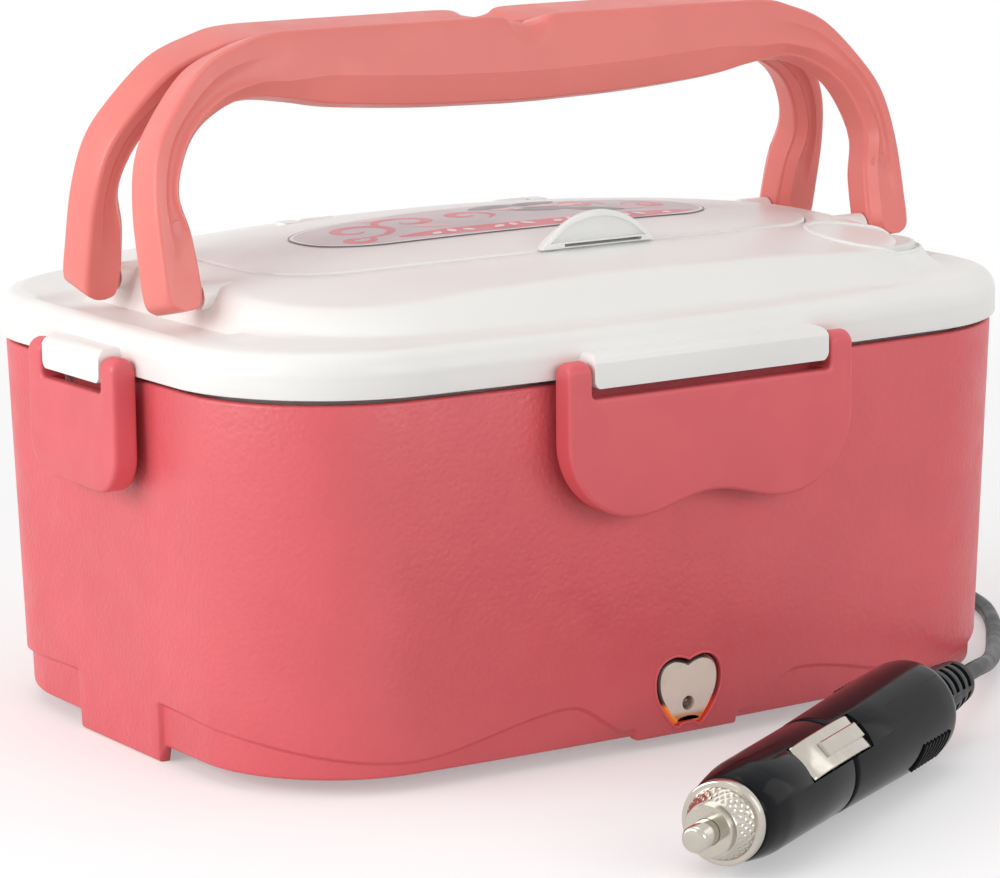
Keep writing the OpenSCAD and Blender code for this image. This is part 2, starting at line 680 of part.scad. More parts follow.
module plug_strain_relief() {
    color("#17181b") difference() {
        at_plug() turned([[0, relief_t], [relief_r0, relief_t], [relief_r1, plug_l], [0, plug_l]]);
        for (i = [0:4], a = [45:90:315]) at_plug(a)
            translate([relief_t + 3 + 4.8 * i, -relief_r0, -4]) cube([2.4, relief_r0 - 3.6, 8]);
    }
}

// ---------------------------------------------------------------- lid
function deck(x, y) = deck_z - x * x / (2 * deck_rx) - y * y / (2 * deck_ry);
shelf_z = rim_z + rim_h + 0.4;
// A ring on the deck's side: t runs from the shelf (0) to the crowned deck (1)
function deck_ring(end_in, front_in, r, t, drop = 0) =
    [for (p = plan(lid_a - end_in, lid_b - front_in, r))
        [p[0], p[1], shelf_z + t * (deck(p[0], p[1]) - shelf_z) - drop]];
// Side of the deck, from its foot to its top: inset at the ends, inset at the front, corner radius, rise
deck_side = [[18.1, 8.2, 34, 0], [19.2, 11.5, 33, 0.18], [20.2, 15.5, 31, 0.6], [21.4, 18.7, 30, 0.88],
    [23, 21.7, 28, 1]];
deck_foot = deck_side[0];
deck_top = deck_side[4];
function window_plan(inset) =
    plan(window_a - inset, window_b - inset, 16 - inset, bow = window_bow, ebow = 2);
function crown_ring(outline, drop) = [for (p = outline) [p[0], p[1], deck(p[0], p[1]) - drop]];
hinge_y = window_b - 1.4;
hinge_x = 30;                        // middle of each hinge knuckle of the cover
hinge_z = deck(hinge_x, hinge_y) - window_t / 2;
landing = window_t + 0.3;
spoon_z = deck_z - spoon_depth - 7.5;
comp_in = landing_w + 1;

handle_pivot_z = rim_z + pivot_up;
leg_in = handle_half - leg_w;
boss_in = leg_in - 9;
boss_r = pivot_pin_r + 1.4;
vent_z = deck(vent_x + 6, vent_y + 8) - 1.6;
vent_seat_r = vent_r + 0.5;
vent_stem_r = 3.5;

module at_pivots() {
    for (sx = [-1, 1], sy = [-1, 1])
        translate([0, sy * pivot_y, handle_pivot_z]) rotate([0, sx * 90, 0]) children();
}
bar_gap = 0.7;
module clip_bar(hw, pivot) {
    half = hw - ear_w - bar_gap;
    difference() {
        translate([-half, -pivot, clip_z]) rotate([90, 0, 90]) linear_extrude(2 * half)
            polygon([[-2.9, -3.6], [-2.9, 2.4], [-2.2, 3.6], [-1, 4.3], [clip_out + 2.4, 4.6],
                [clip_out + 2.4, -1], [clip_out + 1, -1], [clip_out + 0.2, -3.6]]);
        for (s = [-1, 1]) translate([s * (half - 3.6), -pivot, clip_z]) rotate([0, s * 90, 0])
            cylinder(r = clip_pin_r + run, h = 5);
    }
}
module all_bars() {
    for (a = [0, 180]) rotate([0, 0, a]) clip_bar(long_clip_hw, pivot_long);
    for (a = [90, 270]) rotate([0, 0, a]) clip_bar(short_clip_hw, pivot_short);
}

module lid_shell() {
    color(WHITE) difference() {
        union() {
            loft_wall([
                crown_ring(window_plan(comp_in), landing + lid_wall),
                crown_ring(window_plan(-lid_wall), landing + lid_wall),
                deck_ring(deck_top[0] + 3, deck_top[1] + 2.8, deck_top[2] - 2, 1, lid_wall + 0.3),
                deck_ring(deck_foot[0] + 2.9, deck_foot[1] + 3.8, deck_foot[2] - 2, 0, lid_wall + 0.4),
                at_z(rim_plan(4.5), shelf_z - 3),
                at_z(rim_plan(lid_wall + 0.2), shelf_z - 5.4),
                at_z(rim_plan(lid_wall + 0.2), rim_z),
                at_z(rim_plan(0), rim_z),
                at_z(rim_plan(0), shelf_z - 5.3),
                at_z(rim_plan(0.8), shelf_z - 2.7),
                at_z(rim_plan(2.6), shelf_z - 1),
                at_z(rim_plan(5.5), shelf_z - 0.2),
                each [for (d = deck_side) deck_ring(d[0], d[1], d[2], d[3])],
                crown_ring(window_plan(-0.4), 0),
                crown_ring(window_plan(-0.4), landing),
                crown_ring(window_plan(comp_in), landing)]);
            all_bars();
            at_pivots() translate([0, 0, boss_in]) cylinder(r = boss_r, h = leg_in - 0.5 - boss_in);
            translate([vent_x, -vent_y, vent_z - 3.2]) cylinder(r = vent_seat_r + 1.6, h = 3.4);
            for (s = [-1, 1]) translate([s * (hinge_x + 8) - 2.5, hinge_y - 2, hinge_z - 4])
                cube([5, 5, 5.2]);
        }
        at_pivots() translate([0, 0, boss_in + 1]) cylinder(r = pivot_pin_r + run, h = 20);
        for (x = [leg_in - foot_room, -handle_half - foot_room / 2])
            translate([x, -foot_pocket_y, shelf_z - 1.6])
                cube([leg_w + 1.5 * foot_room, 2 * foot_pocket_y, 12]);
        translate([vent_x, -vent_y, vent_z]) cylinder(r = vent_seat_r, h = 9);
        translate([vent_x, -vent_y, vent_z - 9]) cylinder(r = vent_stem_r + run, h = 12);
        translate([0, hinge_y, hinge_z]) rotate([0, 90, 0])
            cylinder(r = 1.1, h = 2 * (hinge_x + 9), center = true);
        for (s = [-1, 1]) translate([s * hinge_x - 5.6, hinge_y - 3, hinge_z - 3]) cube([11.2, 6, 12]);
    }
}
foot_pocket_y = pivot_y + 17;
foot_room = 0.8;                     // clearance beside the handles' feet

// Well of the spoon compartment, fixed under the lid's landing
well_t = 1.6;
module spoon_well() {
    landing_under = landing + lid_wall + 0.08;
    color(WHITE) loft([
        at_z(window_plan(comp_in - well_t), spoon_z - well_t),
        crown_ring(window_plan(comp_in - well_t), landing_under + well_t),
        crown_ring(window_plan(1), landing_under + well_t),
        crown_ring(window_plan(1), landing_under),
        crown_ring(window_plan(comp_in), landing_under),
        at_z(window_plan(comp_in), spoon_z)]);
}

gasket_in = 9;
gasket_z = container_top_z + flange_t + gap;
liner_plate_z = rim_z + 0.7;
module lid_gasket() {
    color("#dfe3e6") difference() {
        slab(rim_plan(gasket_in), gasket_z, liner_plate_z);
        slab(rim_plan(gasket_in + 3), gasket_z - 1, liner_plate_z + 1);
    }
}
module lid_liner() {
    color("#eceae7") difference() {
        slab(rim_plan(5), liner_plate_z, shelf_z - 3.1);
        slab(rim_plan(7), liner_plate_z + 1.8, shelf_z);
        translate([vent_x, -vent_y, liner_plate_z - 1]) cylinder(r = 3, h = 4);
    }
}

// Cover of the spoon compartment, with a straight hinged back edge
function cover_rings(inset, drop, scales) =
    [for (s = scales) let (o = window_plan(inset)) [for (p = o)
        let (q = [p[0] * s, min(p[1], hinge_y) * s]) [q[0], q[1], deck(q[0], q[1]) - drop]]];
module window_cover() {
    hood_r = (tab_half * tab_half + tab_h * tab_h) / (2 * tab_h);
    tab_y = window_b + 1;
    tab_z = deck(0, tab_y);
    color("#dfe0e0") difference() {
        union() {
            loft(concat(cover_rings(0.4, window_t, [0.02, 0.5, 1]), cover_rings(0, window_t - 0.4, [1]),
                cover_rings(0, 0.2, [1]), cover_rings(0.6, -0.3, [1, 0.75, 0.5, 0.25, 0.02])));
            difference() {
                translate([0, -tab_y + 11, tab_z + tab_h - hood_r]) rotate([90, 0, 0])
                    cylinder(r = hood_r, h = 11);
                translate([-40, -tab_y - 5, tab_z - 60]) cube([80, 40, 59.2]);
                translate([-40, -tab_y - 1, tab_z - 5]) cube([80, 2.8, 5.6]);
                translate([0, -tab_y + 2, tab_z + tab_h + 1]) rotate([-42, 0, 0])
                    translate([-40, 0, -0.5]) cube([80, 40, 40]);
            }
            for (s = [-1, 1]) translate([s * hinge_x, hinge_y, hinge_z]) rotate([0, 90, 0]) {
                cylinder(r = 1.7, h = 9, center = true);
                cylinder(r = 1, h = 16, center = true);
            }
        }
        translate([0, -tab_y + 9.4, tab_z + tab_h - hood_r - 1.5]) rotate([90, 0, 0])
            cylinder(r = hood_r - 0.6, h = 9);
        for (s = [-1, 1]) translate([s * (hinge_x + 8) - 2.9, hinge_y - 2.5, hinge_z - 5])
            cube([5.8, 6, 12]);
    }
}
label_y = 0;
label_z = 0.46;                      // underside of the label above the lid's crown
label_t = 0.14;
label_a = 60;
label_b = 21;
label_r = 10;
function label_plan() =
    plan(label_a, label_b, label_r, bow = 6, ebow = 5, fx = [1, 0.75, 0.5, 0.25], fy = [0, 0.5]);
module window_label() {
    color("#e9b6c0") translate([0, label_y, 0]) loft([
        for (r = concat([for (k = [0.02, 0.25, 0.5, 0.75, 1]) [k, label_z]],
            [for (k = [1, 0.75, 0.5, 0.25, 0.02]) [k, label_z + label_t]]))
            [for (p = label_plan()) let (q = p * r[0]) [q[0], q[1], deck(q[0], q[1] + label_y) + r[1]]]]);
}

module vent_plug() {
    color("#e3e2e0") translate([vent_x, -vent_y, 0]) {
        translate([0, 0, vent_z + 0.3]) cylinder(r = vent_r, h = 1.8);
        translate([0, 0, vent_z - 5]) cylinder(r = vent_stem_r, h = 6);
    }
}

// ---------------------------------------------------------------- clips
// Half outline of a clip's plate in X-Z about its pivot, from the ear to the middle
function clip_half(hw, rx, rz, drop, dip) = concat(
    [[hw, -2]],
    [for (t = [0:10:90]) [hw - rx + rx * cos(t), -drop + rz - rz * sin(t)]],
    [for (k = [1:6]) let (u = k / 6) [(hw - rx) * (1 - u), -drop + dip * (1 - cos(180 * u)) / 2]]);
function clip_outline(h) = concat(h, [for (i = [len(h) - 2:-1:0]) [-h[i][0], h[i][1]]]);
clip_plate_top = -5.9;               // top edge of a clip's plate against its pivot

module clip(hw, rx, rz, drop, dip) {
    outline = clip_outline(clip_half(hw, rx, rz, drop, dip));
    front_prism(outline_cut(outline, clip_plate_top), clip_face - clip_t, clip_face);
    difference() {
        front_prism(outline_cut(outline, clip_plate_top + 0.01), -hook_in, clip_face - 0.01);
        front_prism(inset_outline(outline_cut(outline, 4), 2), -hook_in - 1, clip_face - 1);
    }
    for (s = [-1, 1]) {
        translate([s > 0 ? hw - ear_w : -hw, 0, 0]) {
            rotate([0, 90, 0]) cylinder(r = clip_out - 0.3, h = ear_w);
            translate([0, -clip_face, clip_plate_top - 0.1])
                cube([ear_w, clip_face + clip_out - 0.4, -clip_plate_top]);
        }
        translate([s * (hw - ear_w + 0.1), 0, 0]) rotate([0, -s * 90, 0])
            cylinder(r = clip_pin_r, h = bar_gap + 3);
    }
    translate([-catch_half(hw) + 1, -clip_face + clip_t - 0.1, -catch_top - catch_h - gap - 3.2])
        cube([2 * catch_half(hw) - 2, hook_in + clip_face - clip_t + 0.1, 3.2]);
}
function outline_cut(p, top) = [for (q = p) [q[0], min(q[1], top)]];
module long_clip() {
    color(PINK) clip(long_clip_hw, 20, 19.2, long_clip_drop, 3.8);
}
module short_clip() {
    color(PINK) clip(short_clip_hw, 9.6, 9.8, short_clip_drop, 0.5);
}
module clip_front() {
    translate([0, -pivot_long, clip_z]) long_clip();
}
module clip_back() {
    rotate([0, 0, 180]) translate([0, -pivot_long, clip_z]) long_clip();
}
module clip_left() {
    rotate([0, 0, -90]) translate([0, -pivot_short, clip_z]) short_clip();
}
module clip_right() {
    rotate([0, 0, 90]) translate([0, -pivot_short, clip_z]) short_clip();
}

// ---------------------------------------------------------------- handles
// Right half of a handle, from the grip's middle to the foot: X and height above the pivot
// of the outer edge, then of the inner edge
h1 = handle_rise;
handle_out = [[0, h1 - 2], [4.5, h1 - 1.3], [9, h1 - 0.1], [32, h1], [60, h1], [74, h1 - 0.3],
    [handle_half - 30, h1 - 2], [handle_half - 18.5, h1 - 7], [handle_half - 8, h1 - 18],
    [handle_half - 2.6, h1 - 27], [handle_half - 0.3, h1 - 39], [handle_half, 8], [handle_half - 0.3, -0.8],
    [handle_half - 3, -3.3]];
handle_in = [[0, h1 - grip_h], [4.5, h1 - grip_h], [9, h1 - grip_h + 0.1], [32, h1 - grip_h + 0.8],
    [56, h1 - grip_h + 2.6], [68, h1 - grip_h + 4.6], [leg_in - 22, h1 - 15.2], [leg_in - 14, h1 - 16.6],
    [leg_in - 5.5, h1 - 21.4], [leg_in - 0.4, h1 - 28], [leg_in + 2.5, h1 - 37], [leg_in + 0.6, 14],
    [leg_in, -0.8], [leg_in + 3, -3.3]];
// Half of the section, as distance from the edge and share of the half thickness: a rounded outer edge,
// and an inner edge with a bevel that is broad under the grip and narrow down the legs
outer_edge = [[0, 0.66], [0.8, 0.86], [2.4, 1]];
bevel_grip = 6.7;
bevel_leg = 2.4;
function inner_edge(bevel) = [[bevel, 1], [0.8, 0.6], [0, 0.46]];
function handle_ring(a, b) =
    let (u = unit(b - a), bevel = bevel_leg + (bevel_grip - bevel_leg) * (1 - smooth((a[0] - 58) / 30)),
        front = concat([for (e = outer_edge) concat(a + e[0] * u, e[1])],
            [for (e = inner_edge(bevel)) concat(b - e[0] * u, e[1])]))
    concat([for (q = front) [q[0], -q[2] * handle_t / 2, q[1]]],
        [for (i = [5:-1:0]) let (q = front[i]) [q[0], q[2] * handle_t / 2, q[1]]]);
module handle() {
    a = spline(handle_out, 2);
    b = spline(handle_in, 2);
    right = [for (i = [0:len(a) - 1]) handle_ring(a[i], b[i])];
    left = [for (i = [len(a) - 1:-1:1]) [for (p = right[i]) [-p[0], p[1], p[2]]]];
    color(CORAL) {
        loft(concat(left, right));
        for (s = [-1, 1]) translate([s * (leg_in + 3), 0, 0]) rotate([0, -s * 90, 0])
            cylinder(r = pivot_pin_r, h = 3 + leg_in - boss_in - 1.5);
    }
}
module handle_front() {
    translate([0, -pivot_y, handle_pivot_z]) rotate([-lean, 0, 0]) handle();
}
module handle_back() {
    rotate([0, 0, 180]) handle_front();
}

outer_shell();
inner_liner();
heating_plate();
plate_seal();
ptc_heater();
heater_clamp();
clamp_screws();
thermostat();
thermal_fuse();
indicator_lens();
indicator_led();
led_board();
bottom_cover();
cover_screws();
rubber_feet();
terminal_block();
power_leads();
cord_gland();
cord_clamp();
cord_clamp_screws();
cord_rear();
cord_coil();
coil_tie();
cord_front();
plug_strain_relief();
plug_body();
plug_nose();
plug_ring();
plug_tip();
tip_spring();
plug_fuse();
contact_near();
contact_far();
food_container();
side_tray();
lid_shell();
spoon_well();
lid_liner();
lid_gasket();
window_cover();
window_label();
vent_plug();
clip_front();
clip_back();
clip_left();
clip_right();
handle_front();
handle_back();
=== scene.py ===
"""The visible finish of the electric lunch box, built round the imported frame. Lengths are in millimetres."""
import math
from collections import namedtuple

import bmesh
import bpy
import numpy as np
from mathutils import Matrix, Vector
from mathutils.bvhtree import BVHTree


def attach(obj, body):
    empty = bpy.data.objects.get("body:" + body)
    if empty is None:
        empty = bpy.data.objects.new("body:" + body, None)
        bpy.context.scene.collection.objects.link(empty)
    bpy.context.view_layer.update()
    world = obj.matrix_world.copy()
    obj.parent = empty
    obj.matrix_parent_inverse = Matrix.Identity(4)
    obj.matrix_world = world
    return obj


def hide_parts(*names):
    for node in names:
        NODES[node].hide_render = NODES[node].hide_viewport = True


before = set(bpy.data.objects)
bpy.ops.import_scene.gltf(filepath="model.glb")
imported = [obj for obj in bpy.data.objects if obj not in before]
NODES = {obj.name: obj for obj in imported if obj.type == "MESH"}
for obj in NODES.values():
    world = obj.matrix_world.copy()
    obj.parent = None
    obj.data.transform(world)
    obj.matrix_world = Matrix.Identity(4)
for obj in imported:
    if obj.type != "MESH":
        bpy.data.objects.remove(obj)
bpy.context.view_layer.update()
MM = 0.001


def turn(degrees, axis="Z"):
    return Matrix.Rotation(math.radians(degrees), 4, axis)


def shift(x, y, z):
    return Matrix.Translation((x, y, z))


def add_object(name, data):
    obj = bpy.data.objects.new(name, data)
    bpy.context.scene.collection.objects.link(obj)
    return obj


# ---------- camera, at the photograph's angle
CAMERA_AZIMUTH, CAMERA_ELEVATION, CAMERA_ROLL = -33.648, 10.958, -0.536
CAMERA_DISTANCE = 1083.6
LOOK_AT = Vector((30.789, 47.641, 52.01))
LENS, SENSOR = 144.09, 36


def make_camera():
    azimuth, elevation = math.radians(CAMERA_AZIMUTH), math.radians(CAMERA_ELEVATION)
    level = math.cos(elevation)
    back = Vector((math.sin(azimuth) * level, -math.cos(azimuth) * level, math.sin(elevation)))
    data = bpy.data.cameras.new("camera")
    data.lens, data.sensor_width = LENS, SENSOR
    data.clip_start, data.clip_end = 0.05, 20
    camera = add_object("camera", data)
    camera.location = (LOOK_AT + back * CAMERA_DISTANCE) * MM
    facing = (-back).to_track_quat("-Z", "Y").to_matrix().to_4x4()
    camera.rotation_euler = (facing @ turn(CAMERA_ROLL)).to_euler()
    bpy.context.scene.camera = camera


make_camera()

# ---------- driving dimensions, as in the frame
LID_A, LID_B, CORNER_R = 117.5, 84.2, 40
SIDE_BOW, END_BOW = 4.8, 0.6
RIM_Z, SHELF_Z, DECK_Z = 94.5, 105.9, 120.5
DECK_RX, DECK_RY = 806, 346
BODY_A, BODY_B, BODY_R, BODY_H = 115.5, 82.2, 36, 93.2
DRAFT, WALL, LEDGE_Z = 0.026, 2.2, 88.4
SKIRT_Z, RECESS, CREST_Z, TROUGH_Z, END_Z = 3.8, 1.3, 13.7, 7.1, 14.4
TAB_X, END_TAB_Y, CREST_X, TROUGH_X = 15.5, 21.5, 35, 79
COVER_TOP, COVER_LIP, COVER_SEAT = 6.4, 4.2, 2.9
WINDOW_A, WINDOW_B, WINDOW_R, WINDOW_BOW, WINDOW_END_BOW = 84, 42, 16, 14, 2
HINGE_X, HINGE_Y, HINGE_Z = 30, 40.6, 116.66
COVER_T, LANDING, WELL_IN, WELL_FLOOR = 1.8, 2.1, 6, 103.5
VENT_X, VENT_Y, VENT_Z, VENT_R = 82, -44, 110.2, 13.4
CLIP_Z, CLIP_OUT, EAR_W, BAR_GAP = 96.2, 3.3, 6.6, 0.7
PIVOT_Y, PIVOT_Z, LEAN = 20.4, 112, 12.9
HANDLE_HALF, LEG_IN, RISE, GRIP_H, HANDLE_T = 111.6, 100.4, 60.9, 21, 13
THUMB_Y, THUMB_HALF, THUMB_H = -43, 17, 9
LED_Z, LED_HOLE_R = 10.3, 1.8
GLAND_X, GLAND_Z, GLAND_WALL_Y, GLAND_END_Y = 60, 14, 78.9, 103.35

ClipSize = namedtuple("ClipSize", "half corner_x corner_z drop dip pivot")
LONG_CLIP = ClipSize(41.7, 20, 19.2, 35.3, 3.8, LID_B + CLIP_OUT)
SHORT_CLIP = ClipSize(21.6, 9.6, 9.8, 30, 0.5, LID_A + CLIP_OUT)
CLIPS = {"front": (LONG_CLIP, 0), "back": (LONG_CLIP, 180), "left": (SHORT_CLIP, -90),
         "right": (SHORT_CLIP, 90)}


# ---------- curves and outlines
def eased(t):
    """Smooth step from 0 to 1."""
    t = np.clip(t, 0, 1)
    return t * t * (3 - 2 * t)


def between(a, b, shares):
    return [a + (b - a) * t for t in shares]


def rounded_plan(a, b, r, bow=SIDE_BOW, end_bow=END_BOW, side=np.linspace(1, 0, 33),
                 end=np.linspace(0, 1, 13), arc=20):
    """Counter-clockwise rounded rectangle with bowed sides; side and end are its columns, as shares."""
    a0, b0 = a - end_bow, b - bow
    angle = np.radians(np.linspace(0, 90, arc + 1))[1:-1]
    x = np.concatenate([np.full(len(end), a0), a0 - r + r * np.cos(angle), side * (a0 - r)])
    y = np.concatenate([end * (b0 - r), b0 - r + r * np.sin(angle), np.full(len(side), b0)])
    quarter = np.column_stack([x + end_bow * (1 - (y / b0) ** 2), y + bow * (1 - (x / a0) ** 2)])
    half = np.concatenate([quarter[:-1], quarter[:0:-1] * (-1, 1)])
    return np.concatenate([half, -half])


def at_height(ring, z):
    return np.column_stack([ring, np.broadcast_to(z, len(ring))])


def spline(keys, steps):
    """Catmull-Rom curve through keys, which may be points or whole rings."""
    keys = [np.asarray(k, float) for k in keys]
    last = len(keys) - 1
    out = []
    for i in range(last):
        a, b, c, d = keys[max(i - 1, 0)], keys[i], keys[i + 1], keys[min(i + 2, last)]
        for k in range(steps):
            t = k / steps
            out.append(0.5 * (2 * b + (c - a) * t + (2 * a - 5 * b + 4 * c - d) * t ** 2
                              + (3 * b - a - 3 * c + d) * t ** 3))
    return out + [keys[-1]]


def unit_rows(rows):
    return rows / np.linalg.norm(rows, axis=1)[:, None]


def inset_outline(outline, depth):
    """A clockwise X-Z outline moved inward by depth."""
    outline = np.asarray(outline, float)
    before = unit_rows(outline - np.roll(outline, 1, 0))
    after = unit_rows(np.roll(outline, -1, 0) - outline)
    along = unit_rows(before + after)
    stretch = 1 / np.clip((along * after).sum(1), 0.6, 1)
    return outline + depth * stretch[:, None] * np.column_stack([along[:, 1], -along[:, 0]])


def arc_points(x, z, rx, rz, start, end, steps):
    angle = np.radians(np.linspace(start, end, steps + 1))
    return [(x + rx * math.cos(t), z + rz * math.sin(t)) for t in angle]


# ---------- mesh helpers
class Shape:
    """Points and faces that become one piece; marks are the material numbers of the faces."""

    def __init__(self):
        self.points, self.faces, self.marks = [], [], []

    def add(self, points, faces, marks):
        base = len(self.points)
        self.points += [tuple(float(v) for v in p) for p in points]
        self.faces += [[base + i for i in f] for f in faces]
        self.marks += marks
        return self

    def join(self, other):
        return self.add(other.points, other.faces, other.marks)

    def loft(self, rings, loop=False, mark=0):
        """A skin through equal rings, closed by a face at both ends, or round to the first ring."""
        n, m = len(rings[0]), len(rings)
        faces = [[i * n + j, i * n + (j + 1) % n, (i + 1) % m * n + (j + 1) % n, (i + 1) % m * n + j]
                 for i in range(m if loop else m - 1) for j in range(n)]
        if not loop:
            faces += [list(range(n))[::-1], [(m - 1) * n + j for j in range(n)]]
        return self.add([p for ring in rings for p in ring], faces, [mark] * len(faces))

    def box(self, low, high):
        (x0, y0, z0), (x1, y1, z1) = low, high
        return self.loft([[(x0, y0, z), (x1, y0, z), (x1, y1, z), (x0, y1, z)] for z in (z0, z1)])

    def prism(self, outline, y0, y1):
        """An X-Z outline drawn out along Y."""
        return self.loft([[(x, y, z) for x, z in outline] for y in (y0, y1)])

    def tube(self, path, radius, sides=12, loop=False):
        """A round bar along a path."""
        path = np.asarray(path, float)
        along = unit_rows(np.roll(path, -1, 0) - np.roll(path, 1, 0) if loop else np.gradient(path, axis=0))
        angle = np.linspace(0, 2 * math.pi, sides, endpoint=False)
        u = np.cross(along[0], (0, 0, 1) if abs(along[0][2]) < 0.9 else (1, 0, 0))
        rings = []
        for p, t in zip(path, along):
            u = u - t * (u @ t)
            u /= np.linalg.norm(u)
            rings.append(p + radius * (np.outer(np.cos(angle), u) + np.outer(np.sin(angle), np.cross(t, u))))
        return self.loft(rings, loop)

    def bar(self, x0, x1, y, z, radius, sides=32):
        """A round bar along X."""
        return self.tube([(x0, y, z), (x1, y, z)], radius, sides)

    def turned(self, profile, sides=72, loop=False, ripple=None):
        """A profile of (along X, radius) turned about the X axis; ripple(along, angle) adds to the radius."""
        angle = np.linspace(0, 2 * math.pi, sides, endpoint=False)
        rings = []
        for t, r in profile:
            radius = r + (ripple(t, angle) if ripple else 0)
            rings.append(np.column_stack([np.full(sides, t), np.cos(angle) * radius, np.sin(angle) * radius]))
        return self.loft(rings, loop)

    def moved(self, matrix):
        self.points = [tuple(matrix @ Vector(p)) for p in self.points]
        return self


def at_vent(profile, sides=72):
    """A profile of (height, radius) turned about the upright through the vent."""
    return Shape().turned(profile, sides).moved(shift(VENT_X, VENT_Y, 0) @ turn(-90, "Y"))


def smooth(obj, sharp):
    obj.data.shade_smooth()
    obj.data.set_sharp_from_angle(angle=math.radians(sharp))
    return obj


def make_object(name, shape, materials=(), sharp=32):
    mesh = bpy.data.meshes.new(name)
    mesh.from_pydata([[v * MM for v in p] for p in shape.points], [], shape.faces)
    mesh.polygons.foreach_set("material_index", shape.marks)
    clean = bmesh.new()
    clean.from_mesh(mesh)
    bmesh.ops.remove_doubles(clean, verts=clean.verts, dist=1e-7)
    bmesh.ops.recalc_face_normals(clean, faces=clean.faces)
    clean.to_mesh(mesh)
    clean.free()
    for material in materials:
        mesh.materials.append(MATERIAL[material])
    return smooth(add_object(name, mesh), sharp)


def apply_modifiers(obj, sharp):
    graph = bpy.context.evaluated_depsgraph_get()
    mesh = bpy.data.meshes.new_from_object(obj.evaluated_get(graph))
    obj.modifiers.clear()
    obj.data = mesh
    smooth(obj, sharp)


def combine(obj, shape, operation, sharp=32):
    """Cuts a closed shape out of obj, joins it on, or keeps what both hold."""
    tool = make_object("tool", shape)
    step = obj.modifiers.new("combine", "BOOLEAN")
    step.object, step.operation, step.solver = tool, operation, "EXACT"
    apply_modifiers(obj, sharp)
    bpy.data.objects.remove(tool)


def cut(obj, shape, sharp=32):
    combine(obj, shape, "DIFFERENCE", sharp)


def weld(obj, shape):
    combine(obj, shape, "UNION")


def bevel(obj, width, segments, angle):
    """Rounds every edge that is sharper than angle, in degrees."""
    step = obj.modifiers.new("edges", "BEVEL")
    step.width, step.segments, step.angle_limit = width * MM, segments, math.radians(angle)
    step.use_clamp_overlap = True


def soften(obj, width, sharp=32):
    bevel(obj, width, 3, 30)
    apply_modifiers(obj, sharp)


def place(obj, body, slot, *nodes):
    """Sets a finished piece on its body, in place of CAD nodes; slot is not used."""
    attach(obj, body)
    if nodes:
        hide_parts(*nodes)
    return obj


SLOTS = {"clip_pink": "body_pink", "plug_black": "black_plastic", "soft_black": "black_rubber"}


def add_piece(name, shape, material, body, *nodes, sharp=32):
    """Makes a piece of one material and places it."""
    return place(make_object(name, shape, [material], sharp), body, SLOTS.get(material, material), *nodes)


# ---------- materials
def feed(tree, socket, value):
    """Links a socket to another one, or sets its value."""
    if isinstance(value, bpy.types.NodeSocket):
        tree.links.new(value, socket)
    else:
        socket.default_value = value


class Paint:
    """A node material that is built up step by step."""

    def __init__(self, name, color, roughness, **sockets):
        self.name, self.color, self.roughness = name, color, roughness
        self.material = bpy.data.materials.new(name)
        self.material.use_nodes = True
        self.tree = self.material.node_tree
        self.shader = self.tree.nodes["Principled BSDF"]
        for key, value in {"Base_Color": (*color, 1), "Roughness": roughness, **sockets}.items():
            self.shader.inputs[key.replace("_", " ")].default_value = value
        self.place = self.node("ShaderNodeTexCoord").outputs["Object"]

    def node(self, kind, **inputs):
        node = self.tree.nodes.new(kind)
        for key, value in inputs.items():
            feed(self.tree, node.inputs[key.replace("_", " ")], value)
        return node

    def axes(self):
        """The place as X, Y and Z, in metres."""
        return self.node("ShaderNodeSeparateXYZ", Vector=self.place).outputs

    def noise(self, size, detail=2.0, stretch=(1, 1, 1)):
        """Noise whose blobs are about size across."""
        spread = self.node("ShaderNodeMapping", Vector=self.place, Scale=stretch)
        return self.node("ShaderNodeTexNoise", Vector=spread.outputs[0], Scale=1 / (size * MM),
                         Detail=detail).outputs["Fac"]

    def ramp(self, value, low, high, to_low=0.0, to_high=1.0):
        part = self.node("ShaderNodeMapRange", Value=value, From_Min=low, From_Max=high, To_Min=to_low,
                         To_Max=to_high)
        part.interpolation_type = "SMOOTHSTEP"
        return part.outputs["Result"]

    def tint(self, amount, color):
        """Mixes color in where amount is 1."""
        mix = self.node("ShaderNodeMix")
        mix.data_type = "RGBA"
        base = self.shader.inputs["Base Color"]
        before = base.links[0].from_socket if base.is_linked else (*self.color, 1)
        for socket, value in ((mix.inputs[0], amount), (mix.inputs[6], before), (mix.inputs[7], (*color, 1)),
                              (base, mix.outputs[2])):
            feed(self.tree, socket, value)
        return self

    def shade(self, size, strength):
        """Faint cloudiness of the colour, towards darker."""
        dark = tuple(c * (1 - strength) for c in self.color)
        return self.tint(self.ramp(self.noise(size), 0.35, 0.65), dark)

    def gloss(self, size, spread):
        """Roughness that wanders by spread."""
        value = self.ramp(self.noise(size, 3), 0.3, 0.7, self.roughness - spread, self.roughness + spread)
        feed(self.tree, self.shader.inputs["Roughness"], value)
        return self

    def bump(self, value, depth, strength):
        """Relief of this depth, on top of what is there already."""
        bump = self.node("ShaderNodeBump", Height=value, Distance=depth * MM, Strength=strength)
        normal = self.shader.inputs["Normal"]
        if normal.is_linked:
            feed(self.tree, bump.inputs["Normal"], normal.links[0].from_socket)
        feed(self.tree, normal, bump.outputs[0])
        return self

    def grain(self, size, detail, depth, strength, stretch=(1, 1, 1)):
        return self.bump(self.noise(size, detail, stretch), depth, strength)

    def pebbles(self, size, depth, strength):
        """Relief of rounded cells."""
        cells = self.node("ShaderNodeTexVoronoi", Vector=self.place, Scale=1 / (size * MM))
        cells.feature = "SMOOTH_F1"
        cells.inputs["Smoothness"].default_value = 0.6
        return self.bump(cells.outputs["Distance"], depth, strength)


